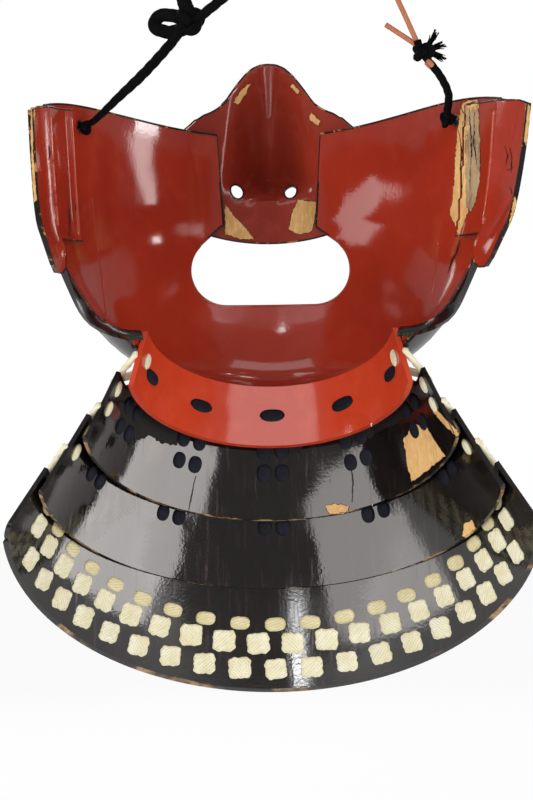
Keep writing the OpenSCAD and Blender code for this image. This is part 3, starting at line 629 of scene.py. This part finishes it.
LACE_W, LACE_T, LACE_PITCH, STITCH_CROWN = 4.8, 1.1, 6.6, 0.85
ROW_A, ROW_B = 4.4, 12.7
BAND_ROW, BAND_EDGE_ROW = 9.0, 6.0
BAND_COLUMN, LAME_COLUMN, BAND_EDGE, LAME_EDGE = 34.0, 32.5, 76.0, 81.0
COLUMNS = ["edge_right", "far_right", "right", "centre", "left", "far_left", "edge_left"]
LEVELS = ["neck", "upper", "middle"]
BODIES = ["mask", "upper", "middle", "lower"]


def column_angle(k, column):
    if column in (0, 6):
        return (column - 3) / 3 * (BAND_EDGE if k == 0 else LAME_EDGE)
    return (column - 3) * (BAND_COLUMN if k == 0 else LAME_COLUMN)


def cone_r(k, s):
    return profile(k, s, 0)[0]


def lace_angle(k, column, side, s):
    return column_angle(k, column) + math.degrees(math.asin(side * LACE_PITCH / 2 / cone_r(k, s)))


def pad(k, angle, s, length, width, crown, side, square, notch, ribs, n=16):
    """A sewn pad on a plate. side -1 is its inside, 1 its outside. square and notch shape its outline,
    and ribs are the strands' pitch, depth and angle. Gives vertices, faces and how deep between the
    strands each vertex lies, which the shader paints darker as painted shade."""
    verts, faces, groove_shades = [], [], []
    rnd = random.Random(round(angle * 31 + s * 7 + k))
    turn = math.radians(rnd.uniform(-7, 7))
    grow = rnd.uniform(0.95, 1.04)
    phase = rnd.uniform(0, 2 * math.pi)
    c, sn = math.cos(turn), math.sin(turn)
    rib_turn = math.radians(ribs[2])
    base_w = -0.06 if side < 0 else THICK[k] + 0.06
    rings, per = n // 2 + 2, 2 * n
    for ring in range(rings):
        share = min(ring / (n // 2), 1)
        inside = ring <= n // 2
        for j in range(per):
            a = math.pi * j / n
            round_r = (abs(math.cos(a)) ** square + abs(math.sin(a)) ** square) ** (-1 / square)
            lobes = (1 - notch * math.cos(4 * a) + notch * 0.4 * math.cos(9 * a + phase)
                     + notch * 0.35 * math.cos(13 * a - phase * 2))
            x = length / 2 * round_r * lobes * grow * share * math.cos(a)
            y = width / 2 * round_r * lobes * grow * share * math.sin(a)
            x, y = x * c - y * sn, x * sn + y * c
            h = crown * max(1 - share ** 3.4, 0) ** 0.5 if inside else 0
            # How dark the shader paints this point: fully at the base ring, and in the hollows between the
            # strands, as painted shade.
            groove_shade = 0.0 if inside else 1.0
            if inside:
                v = (x * math.cos(rib_turn) + y * math.sin(rib_turn)) / ribs[0]
                wave = abs(math.sin(math.pi * v + 0.25 * math.sin(x * 3 + y * 2)))
                h += ribs[1] * (wave ** 0.6 - 1) * max(1 - share ** 8, 0)
                groove_shade = max(0.0, 1 - wave * 1.9)
            at = s - y
            verts.append(on_cone(k, angle + math.degrees(x / cone_r(k, at)), at,
                                 base_w + side * max(h, 0)))
            groove_shades.append(groove_shade)
    for ring in range(rings - 1):
        for j in range(per):
            i = (j + 1) % per
            face = (ring * per + j, (ring + 1) * per + j, (ring + 1) * per + i, ring * per + i)
            faces.append(face if side > 0 else face[::-1])
    return verts, faces, groove_shades


def sewn(name, parts, material, body):
    """One piece out of several pads, with how deep between the strands each point lies, which the shader
    paints darker as painted shade.
    """
    piece = new_piece(name, *joined([part[:2] for part in parts]), material, body)
    values = [g for part in parts for g in part[2]]
    piece.data.attributes.new("groove_shade", "FLOAT", "POINT").data.foreach_set("value", values)
    return piece


def stitches(name, k, columns, material, length, width):
    """The inside and the pegs of the lacing on one plate."""
    parts = []
    for column in columns:
        s = ROW_A if k else (BAND_EDGE_ROW if column in (0, 6) else BAND_ROW)
        rows = [s] if k in (0, 3) else [ROW_A, ROW_B]
        sides = [0] if column in (0, 6) else [-1, 1]
        if k == 0 and len(sides) == 2:
            parts.append(pad(0, column_angle(0, column), s, LACE_PITCH + 2.4, 4.8, STITCH_CROWN, -1, 2.4,
                             0, (0.9, 0.12, 0)))
            continue
        for row in rows:
            for side in sides:
                parts.append(pad(k, lace_angle(k, column, side, row), row, length, width, STITCH_CROWN,
                                 -1, 2.3, 0, (0.9, 0.12, 0 if column in (0, 6) else 35 * side)))
    piece = sewn(name, parts, material, BODIES[k])
    stand_in(piece, "cream_lace" if "edge" in name else "navy_lace", name)


for k, level in enumerate(("neck", "upper", "middle", "lower")):
    stitches(level + "_stitches", k, range(1, 6), NAVY, 5.4, 6.4)
    stitches(level + "_edge_stitches", k, (0, 6), CREAM, 4.6, 6.2)


def ribbon(k, angle, offset, width):
    """A flat braided lace from plate k's hole over the next plate's top to that plate's first row."""
    start = BAND_EDGE_ROW if k == 0 else ROW_B
    top_s = (CONES[k + 1][1] - CONES[k][1]) / math.cos(FLARES[k])
    t = THICK[k]
    mid = LACE_T / 2 + 0.15
    over = profile(k + 1, 0, THICK[k + 1] + mid)
    points = [profile(k, start - 0.9, t + mid * 0.7), profile(k, start + 0.8, t + mid),
              profile(k, max(top_s - 2.6, start + 1.2), t + mid),
              (over[0] - 0.2, over[1] + 0.75), profile(k + 1, 1.8, THICK[k + 1] + mid),
              profile(k + 1, ROW_A + 0.2, THICK[k + 1] + mid * 0.9),
              profile(k + 1, ROW_A + 1.2, THICK[k + 1] + mid * 0.5)]
    path = spline([(r, 0, z) for r, z in points], 0.45)
    a = math.radians(angle)
    verts, faces = [], []
    across = 14
    run = 0
    for n, p in enumerate(path):
        before, after = path[max(n - 1, 0)], path[min(n + 1, len(path) - 1)]
        d = (after - before).normalized()
        out = Vector((-d.z, 0, d.x))
        if out.x < 0:
            out = -out
        end = min(n, len(path) - 1 - n)
        size = min(1, 0.72 + 0.14 * end)
        for layer in (1, -1):
            for j in range(across + 1):
                f = j / across * 2 - 1
                rise = LACE_T / 2 * math.sqrt(max(1 - abs(f) ** 5, 0)) * size
                chevron = 0.1 * math.sin(2 * math.pi * (run / 1.5 + abs(f) * 0.8)) * (1 - f ** 6)
                q = p + out * (layer * rise + (chevron if layer > 0 else 0))
                x = offset + f * width / 2 * size * (1 + 0.02 * math.sin(run * 4.2))
                c, s = math.cos(a), math.sin(a)
                verts.append(guard(q.x * s + x * c, -q.x * c + x * s, q.z))
        if n < len(path) - 1:
            run += (path[n + 1] - p).length
    per = 2 * (across + 1)
    for n in range(len(path) - 1):
        for j in range(across):
            top = n * per + j
            low = top + across + 1
            faces.append((top, top + 1, top + 1 + per, top + per))
            faces.append((low, low + per, low + 1 + per, low + 1))
        for j in (0, across):
            top = n * per + j
            low = top + across + 1
            quad = (top, top + per, low + per, low)
            faces.append(quad[::-1] if j else quad)
    last = (len(path) - 1) * per
    for j in range(across):
        faces.append((j, j + across + 1, j + across + 2, j + 1))
        faces.append((last + j, last + j + 1, last + j + across + 2, last + j + across + 1))
    return verts, faces, points


def end_loop(k, side):
    """The edge lace's twisted strand, outside plate k's end and down to the next plate's end."""
    rim_angle = 86.0
    half = 0.9
    first = BAND_EDGE if k == 0 else LAME_EDGE
    start = BAND_EDGE_ROW if k == 0 else ROW_B
    t = THICK[k]
    over = THICK[k + 1] + half
    places = [(k, first, start, t + half * 0.5), (k, rim_angle - 1, start + 1.6, t + half * 0.7),
              (k, rim_angle - 0.5, start + 3.2, t + half * 0.9),
              (k + 1, LAME_EDGE, 1.8, over), (k + 1, LAME_EDGE, ROW_A, over * 0.8)]
    path = spline([on_cone(kk, side * a, s, w) for kk, a, s, w in places], 0.00045)
    return braid(path, 0.0024, 0.002, ripple=0.14, sides=12, pitch=0.003)


for k, level in enumerate(LEVELS):
    for column, side_name in enumerate(COLUMNS):
        edge = column in (0, 6)
        angle = (column_angle(k, column) + column_angle(k + 1, column)) / 2
        parts = []
        for side in ([0] if edge else [-1, 1]):
            v, f, points = ribbon(k, angle, side * LACE_PITCH / 2, LACE_W)
            parts.append((v, f))
        if edge:
            parts.append(end_loop(k, -1 if column == 0 else 1))
        name = f"lace_{side_name}_{level}"
        piece = new_piece(name + "_silk", *joined(parts), CREAM if edge else NAVY)
        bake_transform(piece)
        stand_in(piece, "cream_lace" if edge else "navy_lace", name)

STITCH_ROWS = [("oval_stitch_row", 23.7, 8.3, 19), ("middle_cross_stitches", 16.6, 7.8, 20),
               ("lower_cross_stitches", 7.3, 7.8, 19)]
for name, rise, pitch, count in STITCH_ROWS:
    parts = []
    oval = name == "oval_stitch_row"
    for n in range(count):
        angle = (n - (count - 1) / 2) * pitch
        s = lower_edge(angle) - rise
        lean = 45 if (n + len(name)) % 3 else -45
        for side in (-1, 1):
            if oval:
                parts.append(pad(3, angle, s, 7.8, 5.2, 0.9, side, 2.3, 0.025, (1, 0.1, 70), 22))
            else:
                parts.append(pad(3, angle, s, 8.5, 7.9, 0.92, side, 2.9, 0.06, (0.95, 0.17, lean),
                                 28 if side < 0 else 18))
    stand_in(sewn(name + "_silk", parts, OLD_CREAM if oval else CREAM, "lower"), "cream_lace", name)

# Cords and knots

CORD_W, CORD_T, RIGHT_CORD_W, THONG_D = 0.0037, 0.003, 0.0029, 0.0019
CORD_STEP = 0.0004
LEFT_KNOT_IN = mm(64.8, -38.3, 50.3)
RIGHT_KNOT_IN = mm(-64.8, -38.3, 50.3)
HANG = mm(-29, -41, 130)
SLIP = mm(29, -41, 86)
RIGHT_KNOT = mm(-54.5, -41, 75.5)
LEFT_ROUTE = [LEFT_KNOT_IN, mm(61, -38, 52), mm(52, -39, 60.5), mm(43, -40, 69), mm(33, -41, 80), SLIP,
              mm(24, -41, 88), mm(8, -41, 100.5), mm(-10, -41, 114.5), mm(-26, -41, 127), HANG]
RIGHT_ROUTE = [RIGHT_KNOT_IN, mm(-63.5, -36, 52.5), mm(-64, -35, 59), mm(-61.5, -37.5, 65.5),
               mm(-57, -40.5, 72), RIGHT_KNOT, mm(-53.4, -41, 79)]
THONG_ROUTE = [HANG, mm(-31, -41, 127), mm(-38.5, -41, 110.5), mm(-46.5, -41, 94), mm(-53.5, -41, 78),
               RIGHT_KNOT]
TAIL_ROUTE = [RIGHT_KNOT, mm(-53, -42, 77.5), mm(-47.5, -43, 81.5), mm(-42.5, -44, 85)]
BIGHT_ROUTE = [mm(-56.3, -41.5, 72.8), mm(-57.4, -39.4, 71.2), mm(-58.3, -38.6, 70),
               mm(-58.6, -39, 69.2), mm(-57.8, -39.6, 69.6), mm(-56.6, -40.4, 71)]
LOOP_ROUTE = [mm(27, -43, 86.8), mm(31, -43.5, 88.6), mm(35, -45, 89.8), mm(38.4, -46, 89),
              mm(39.6, -46, 86.8), mm(38.2, -45.5, 84.6), mm(34.5, -44.5, 83.6), mm(30.5, -43, 84),
              mm(27.5, -42.5, 85.5)]
UPPER_LOOP_ROUTE = [mm(25, -46, 87.5), mm(27.5, -46.5, 90.5), mm(29, -46.5, 94), mm(29.4, -46, 97),
                    mm(29.3, -44, 98.8), mm(29, -42, 97), mm(28.6, -41.2, 94), mm(27.2, -41.2, 90.5),
                    mm(25, -41.5, 87.5)]


def cord_piece(name, route, width, thick, material=CORD, ripple=0.05, sides=20, thin_start=0.0):
    path = spline(route, CORD_STEP)
    verts, faces = braid(path, width, thick, ripple=ripple, sides=sides, pitch=width * 1.15,
                         thin_start=thin_start)
    return new_piece(name, verts, faces, material, "mask"), path


def knot_piece(node, centre, unit, axis, turn, width):
    """A tight knot of the cord in place of its node. unit sets its size, and axis where it faces."""
    path = trefoil(centre, unit, axis, turn)
    piece = new_piece(node + "_braid", *braid(path, width, width * 0.9, closed=True, sides=16, ripple=0.1),
                      CORD, "mask")
    return stand_in(piece, "black_cord", node)


left_cord, left_path = cord_piece("left_braided_cord", LEFT_ROUTE, CORD_W, CORD_T, thin_start=0.4)
right_cord, right_path = cord_piece("right_braided_cord", RIGHT_ROUTE, RIGHT_CORD_W, RIGHT_CORD_W * 0.85)
thong, thong_path = cord_piece("hide_thong", THONG_ROUTE, THONG_D, THONG_D * 0.8, THONG, 0, 10)
tail = new_piece("hide_thong_tail", *joined([
    braid(spline(route, CORD_STEP), THONG_D, THONG_D * 0.8, ripple=0, sides=10)
    for route in (TAIL_ROUTE, BIGHT_ROUTE)]), THONG, "mask")
stand_in(left_cord, "black_cord", "left_cord", "left_upper_cord")
stand_in(right_cord, "black_cord", "right_cord")
stand_in(thong, "hide_thong", "thong")
stand_in(tail, "hide_thong", "thong_tail")

slip_knot = knot_piece("slip_knot", SLIP + mm(-2.4, -1, 1.3), 0.0013, (-1, 2.2, 0.93), 0.4, 0.0042)
right_knot = knot_piece("right_knot", RIGHT_KNOT + mm(-0.9, -0.2, -0.6), 0.001, (3, 6, 8), 0.2, 0.0032)
hanging_knot = knot_piece("hanging_knot", HANG, 0.0011, (0, 1, 0.2), 0, 0.0026)
knot_piece("left_cheek_knot", LEFT_KNOT_IN + mm(-0.6, 0.3, -0.6), 0.00066, (0.6, -1, -0.2), 0.3, 0.0019)
knot_piece("right_cheek_knot", RIGHT_KNOT_IN + mm(1.3, 0.3, 0.3), 0.00074, (-0.6, -1, -0.2), 0.9, 0.0021)
loops = new_piece("slip_loops", *joined([
    braid(spline(LOOP_ROUTE, CORD_STEP), 0.005, 0.0026, ripple=0.06),
    braid(spline(UPPER_LOOP_ROUTE, CORD_STEP), 0.0026, 0.0048, (1, 0, 0), ripple=0.06)]), CORD, "mask")
stand_in(loops, "black_cord", "slip_loop")


def tassel(root, tufts, spread, strands, thick, seed):
    """Frayed strands in a few tufts. Each tuft is the way from the root to its tip."""
    rnd = random.Random(seed)
    parts = []
    for n in range(strands):
        way = tufts[n % len(tufts)] * rnd.uniform(0.6, 1)
        side = way.orthogonal().normalized()
        other = way.normalized().cross(side)
        a = rnd.uniform(0, 2 * math.pi)
        out = (side * math.cos(a) + other * math.sin(a)) * rnd.uniform(0.1, 1) * spread
        points = [root + out * 0.2, root + way * 0.35 + out * 0.6,
                  root + way * 0.75 + out * rnd.uniform(0.6, 1), root + way + out * rnd.uniform(0.6, 1.4)]
        parts.append(braid(spline(points, 0.0008), thick, thick, ripple=0, sides=5, taper=0.5))
    return joined(parts)


TUFTS = [mm(-4, 0.5, 6.8), mm(-7.2, -0.5, 2.2), mm(-7, 0, -3.6)]
fray = tassel(RIGHT_KNOT + mm(-2.2, 0, 0), TUFTS, spread=0.0016, strands=66, thick=0.00055, seed=5)
right_tassel = new_piece("right_tassel_fray", *fray, CORD, "mask")
stand_in(right_tassel, "black_cord", "right_tassel")

# Worn and chipped places
FARTHEST = 3
EDGE_PITCH = 1.2
LONGEST_SIDE = 0.004


def surface_of(*nodes):
    """One search tree over some CAD nodes."""
    verts, faces = [], []
    for node in nodes:
        mesh = NODES[node].data
        base = len(verts)
        verts += [v.co.copy() for v in mesh.vertices]
        faces += [[base + i for i in p.vertices] for p in mesh.polygons]
    return BVHTree.FromPolygons(verts, faces)


def seen_at(tree, place, lift):
    """The surface's point seen at a place of the picture, lift millimetres above it, or None."""
    way = ray_of(place.x, place.y)
    hit, normal, _index, _far = tree.ray_cast(CAMERA_PLACE, way, FARTHEST)
    if hit is None:
        return None
    return hit + (-normal if normal.dot(way) > 0 else normal) * lift * 0.001


def worn_patch(name, outline, tree, body, material, lift=0.12, rough=0.8, cell=2.0, grow=0.0):
    """A bare place in the lacquer. Its outline is given in places of the picture, and it lies on the
    surface seen there, lift millimetres above it. rough makes its edge uneven, and cell is the grid's
    pitch, both in picture places."""
    ring = [Vector(p) for p in outline]
    middle = sum(ring, Vector((0, 0))) / len(ring)
    edge = []
    for n, a in enumerate(ring):
        b = ring[(n + 1) % len(ring)]
        count = max(1, round((b - a).length / EDGE_PITCH))
        for i in range(count):
            p = a.lerp(b, i / count)
            q = Vector((p.x, p.y, 3.7)) * 0.45
            p = p + Vector((noise.noise(q), noise.noise(q + Vector((9, 5, 2))))) * rough * 1.6
            out = p - middle
            edge.append(p + out.normalized() * grow if out.length > 0.01 else p)
    low = Vector((min(p.x for p in edge), min(p.y for p in edge)))
    high = Vector((max(p.x for p in edge), max(p.y for p in edge)))
    inner = [Vector((x, y)) for x in np.arange(low.x, high.x, cell)
             for y in np.arange(low.y, high.y, cell)]
    count = len(edge)
    edges = [(n, (n + 1) % count) for n in range(count)]
    out = delaunay_2d_cdt(edge + inner, edges, [list(range(count))], 1, 0.01)
    hits, kept = [], {}
    for n, p in enumerate(out[0]):
        hit = seen_at(tree, p, lift)
        if hit is not None:
            kept[n] = len(hits)
            hits.append(hit)
    faces = [tuple(kept[i] for i in f) for f in out[2] if all(i in kept for i in f)]
    faces = [f for f in faces
             if max((hits[f[i]] - hits[f[i - 1]]).length for i in range(len(f))) < LONGEST_SIDE]
    if faces:
        new_piece(name, hits, faces, material, body)


def chip(name, outline, tree, body, material=RAWHIDE, **more):
    """A bare place with a dark ring round it: the broken edge of the lacquer, and painted shade where the
    lacquer steps down into the chip.
    """
    # The dark ring is partly the broken lacquer and partly painted shade of the chip's step.
    worn_patch(name + "_rim", outline, tree, body, CRACK, lift=0.06, grow=0.7, **more)
    worn_patch(name, outline, tree, body, material, **more)


def stroke(points, width):
    """The outline of a thin crack along some places of the picture."""
    pts = [Vector(p) for p in points]
    left, right = [], []
    for n, p in enumerate(pts):
        d = (pts[min(n + 1, len(pts) - 1)] - pts[max(n - 1, 0)]).normalized()
        w = width / 2 * (0.5 if n in (0, len(pts) - 1) else 1)
        left.append(p + Vector((-d.y, d.x)) * w)
        right.append(p - Vector((-d.y, d.x)) * w)
    return left + right[::-1]


def cracks(name, lines, width, tree, body, rough=0.5, **more):
    """Thin dark cracks along some lines of places of the picture."""
    for n, line in enumerate(lines):
        worn_patch(f"{name}_{n}", stroke(line, width), tree, body, CRACK, rough=rough, cell=1, **more)


nose = surface_of("nose_piece")
for name, cell, outline in (
        ("low_left", 2.0, [(225, 204), (232, 214), (244, 226), (254, 239), (240, 239), (225, 234)]),
        ("low_right", 2.0, [(298, 200), (316, 202), (315, 218), (312, 231), (299, 235), (289, 229),
                            (292, 214)]),
        ("left_edge", 1.2, [(250, 84), (246, 94), (238, 104), (233, 103), (240, 92), (247, 84)]),
        ("right_edge", 1.2, [(293, 83), (300, 91), (298, 94), (291, 87)]),
        ("right_wing", 1.2, [(311, 113), (321, 121), (318, 125), (309, 119)])):
    chip("nose_chip_" + name, outline, nose, "nose", cell=cell)

right_side = surface_of("right_ear_flange", "face_plate")
chip("right_ridge_wear", [
    (463, 103), (470, 100), (478, 100), (479, 108), (470, 113), (468, 140), (466, 170), (466, 200),
    (469, 211), (464, 222), (459, 237), (456, 226), (450, 214), (453, 200), (455, 170), (457, 140),
    (459, 120)], right_side, "mask")
# The worn ridge's outward face: bare hide painted darker, as painted shade.
chip("right_ridge_shaded_hide", [
    (467, 108), (478, 105), (480, 140), (480, 180), (476, 200), (471, 212), (466, 206), (465, 170),
    (466, 135)], right_side, "mask", SHADED_HIDE)
cracks("right_ridge_crack", (
    [(459, 130), (462, 150), (461, 170), (463, 195)], [(470, 115), (472, 150), (470, 190)],
    [(475, 112), (474, 140), (477, 165)], [(461, 108), (466, 116), (463, 126)]),
    1.3, right_side, "mask", 0.7, lift=0.2)
chip("right_wing_chip_top", [(526, 103), (530, 106), (529, 130), (526, 146), (523, 138), (526, 118)],
     right_side, "mask", cell=1.2)
chip("right_wing_chip_low", [(514, 197), (517, 201), (515, 218), (510, 236), (506, 238), (510, 218)],
     right_side, "mask", cell=1.2)
worn_patch("right_corner_crack", stroke([(460, 240), (457, 252), (452, 261), (448, 273)], 1.6), right_side,
           "mask", CRACK, rough=0.4, cell=1)
cracks("right_wing_scratch", (
    [(505, 146), (508, 156), (506, 165)], [(510, 148), (512, 158), (511, 172)],
    [(507, 170), (513, 168)], [(510, 187), (512, 194)]), 1, right_side, "mask")

left_side = surface_of("left_ear_flange", "face_plate")
chip("left_wing_worn_edge", [
    (31, 107), (35, 106), (34, 125), (33, 150), (35, 175), (37, 200), (34, 203), (32, 170), (31, 140)],
    left_side, "mask", cell=1.2, rough=0.5)
cracks("left_flange_crack", (
    [(49, 145), (50, 152), (49, 160)], [(68, 205), (70, 220), (69, 236)],
    [(72, 200), (76, 206), (77, 216)]), 1.3, left_side, "mask", 0.6)


def crease(name, points, tree, radius, material=RIDGE_HIGHLIGHT_RED):
    """A folded ridge or the edge of a channel: a half-sunk bead of lacquer along places of the picture.
    Its default lacquer is a lighter red, which is a painted highlight along the bead.
    """
    hits = [seen_at(tree, p, -radius * 0.6) for p in spline([(x, y, 0) for x, y in points], 4)]
    path = spline([hit for hit in hits if hit is not None], 0.0006)
    piece = new_piece(name, *tube(path, radius * 0.001, sides=16), material, "mask")


crease("left_flange_ridge", [(50.5, 113), (53.5, 170), (58, 228)], left_side, 1)
crease("left_seat_edge", [(71.5, 114), (75.5, 180), (79, 236)], left_side, 1)
crease("right_flange_ridge", [(494, 108), (489.5, 170), (482.5, 226)], right_side, 1)
crease("left_cheek_fold", [(92, 196), (97, 240), (107, 324)], left_side, 0.6, RED)
crease("right_cheek_fold", [(438, 240), (436, 268), (431, 296)], right_side, 0.6, RED)

upper = surface_of("upper_lame")
middle = surface_of("middle_lame")
chip("upper_lame_chip", [
    (404, 440), (414, 424), (426, 426), (436, 442), (445, 456), (428, 470), (412, 482), (407, 462)],
    upper, "upper")
chip("upper_lame_chip_edge", [
    (430, 403), (440, 412), (450, 424), (461, 434), (457, 437), (444, 424), (433, 411)],
    upper, "upper", cell=1.4)
chip("upper_lame_chip_low", [(325, 506), (337, 504), (349, 506), (348, 513), (330, 514)], upper, "upper",
     cell=1.4)
for n, outline in enumerate((
        [(120, 402), (140, 408), (165, 415), (180, 424), (187, 438), (176, 446), (160, 443), (150, 436),
         (138, 440), (128, 434), (121, 420)],
        [(340, 436), (355, 432), (372, 424), (392, 414), (404, 404), (408, 416), (398, 424), (384, 428),
         (370, 438), (352, 442)],
        [(262, 444), (290, 443), (305, 441), (300, 452), (285, 456), (266, 455)])):
    worn_patch(f"upper_lame_stain_{n}", outline, upper, "upper", MATTE_BLACK, lift=0.05, rough=1.6)
cracks("upper_lame_crack", (
    [(196, 476), (193, 488), (191, 500), (188, 514)], [(351, 466), (353, 480), (352, 502)],
    [(257, 470), (255, 486), (257, 500)]), 1.2, upper, "upper")
chip("middle_lame_chip", [(464, 524), (472, 520), (476, 527), (470, 539), (463, 536)], middle, "middle",
     cell=1.4)

# Studio
CARD_COLOUR = (1, 0.95, 0.93)
WORLD_LIGHT = 0.3


def lamp(name, place, target, size, watts, colour=(1, 1, 1)):
    data = bpy.data.lights.new(name, "AREA")
    data.shape = "RECTANGLE"
    data.size, data.size_y = size
    data.energy = watts
    data.color = colour
    obj = bpy.data.objects.new(name, data)
    scene.collection.objects.link(obj)
    obj.location = place
    obj.rotation_euler = (Vector(target) - Vector(place)).to_track_quat("-Z", "Y").to_euler()
    return obj


for panel in (lamp("low_panel_right", (-0.887, 0.604, -0.195), (0, -0.04, -0.195), (0.63, 0.55), 6.9),
              lamp("panel_left", (0.75, 0.82, -0.05), (0, -0.04, -0.05), (0.92, 0.5), 5.5)):
    panel.visible_glossy = False
lamp("key_right", (-1.1, -0.1, 0.3), (0, -0.04, 0), (0.3, 0.2), 2.5)


def card(name, x, y, z, size, radiance, turn=0):
    """A reflector card inside the mask, in millimetres. It faces the other side, and only the
    lacquer's gloss sees it. turn is in degrees."""
    watts = math.pi * size[0] * size[1] * 1e-6 * radiance
    obj = lamp(name, mm(x, y, z), mm(-x, y, z), (size[0] * 0.001, size[1] * 0.001), watts, CARD_COLOUR)
    turned = obj.rotation_euler.to_matrix() @ Matrix.Rotation(math.radians(turn), 3, "Z")
    obj.rotation_euler = turned.to_euler()
    obj.visible_camera = False
    obj.visible_diffuse = False


card("left_lames_card", -36, -36.5, -97.5, (67, 100), 5.9)
card("right_lames_card", 36, 10.5, -104, (89, 92), 3.9)
card("left_cheek_card", -15, -76, 48, (6, 37), 6.8)
card("left_cheek_star", -15, -74.8, 14, (2, 3), 26)
card("left_cheek_glow", -15, -62, 17.5, (5, 6), 3)
card("right_cheek_card_top", 15, -68.5, 27.5, (23, 9), 3.6, -42)
card("right_cheek_card_low", 15, -69, 17.5, (11, 11), 3.6, 30)
lamp("chin_light", (0.22, 1.3, -0.26), (0, -0.08, -0.06), (0.14, 0.09), 0.9)
lamp("key_left", (1.0, 0.25, 0.42), (0, -0.04, 0), (0.4, 0.25), 3.5)
lamp("top_light", (0.0, 1.0, 0.7), (0, -0.05, 0), (1.8, 0.45), 5)
lamp("front_light", (0.3, -1.1, 0.5), (0, -0.05, 0), (0.9, 0.9), 6)

world = bpy.data.worlds.new("studio")
scene.world = world
world.use_nodes = True
tree = world.node_tree
background = tree.nodes["Background"]
path_node = tree.nodes.new("ShaderNodeLightPath")
level = tree.nodes.new("ShaderNodeMath")
level.operation = "MULTIPLY_ADD"
level.inputs[1].default_value = 1 - WORLD_LIGHT
level.inputs[2].default_value = WORLD_LIGHT
tree.links.new(path_node.outputs["Is Camera Ray"], level.inputs[0])
tree.links.new(level.outputs[0], background.inputs["Strength"])
background.inputs["Color"].default_value = (1, 1, 1, 1)

FLOOR_Z = cad_bounds[0][2] - 0.12
paint = Nodes("floor")
floor_white = paint.finish(Base_Color=paint.mix(paint.noise(3, 2), "#f4f4f4", "#f8f8f8"), Roughness=0.9)
floor = new_piece("floor", [(x * 4, y * 4, FLOOR_Z) for x, y in ((-1, -1), (1, -1), (1, 1), (-1, 1))],
                  [(0, 1, 2, 3)], floor_white, smooth=False)
glow = paint.add("ShaderNodeEmission")
shade = paint.add("ShaderNodeMixShader")
ray = paint.add("ShaderNodeLightPath")
paint.put(shade.inputs[0], paint.math("MULTIPLY", ray.outputs["Is Camera Ray"], 0.93))
paint.put(shade.inputs[1], paint.shader.outputs[0])
paint.put(shade.inputs[2], glow.outputs[0])
paint.put(paint.tree.nodes["Material Output"].inputs["Surface"], shade.outputs[0])
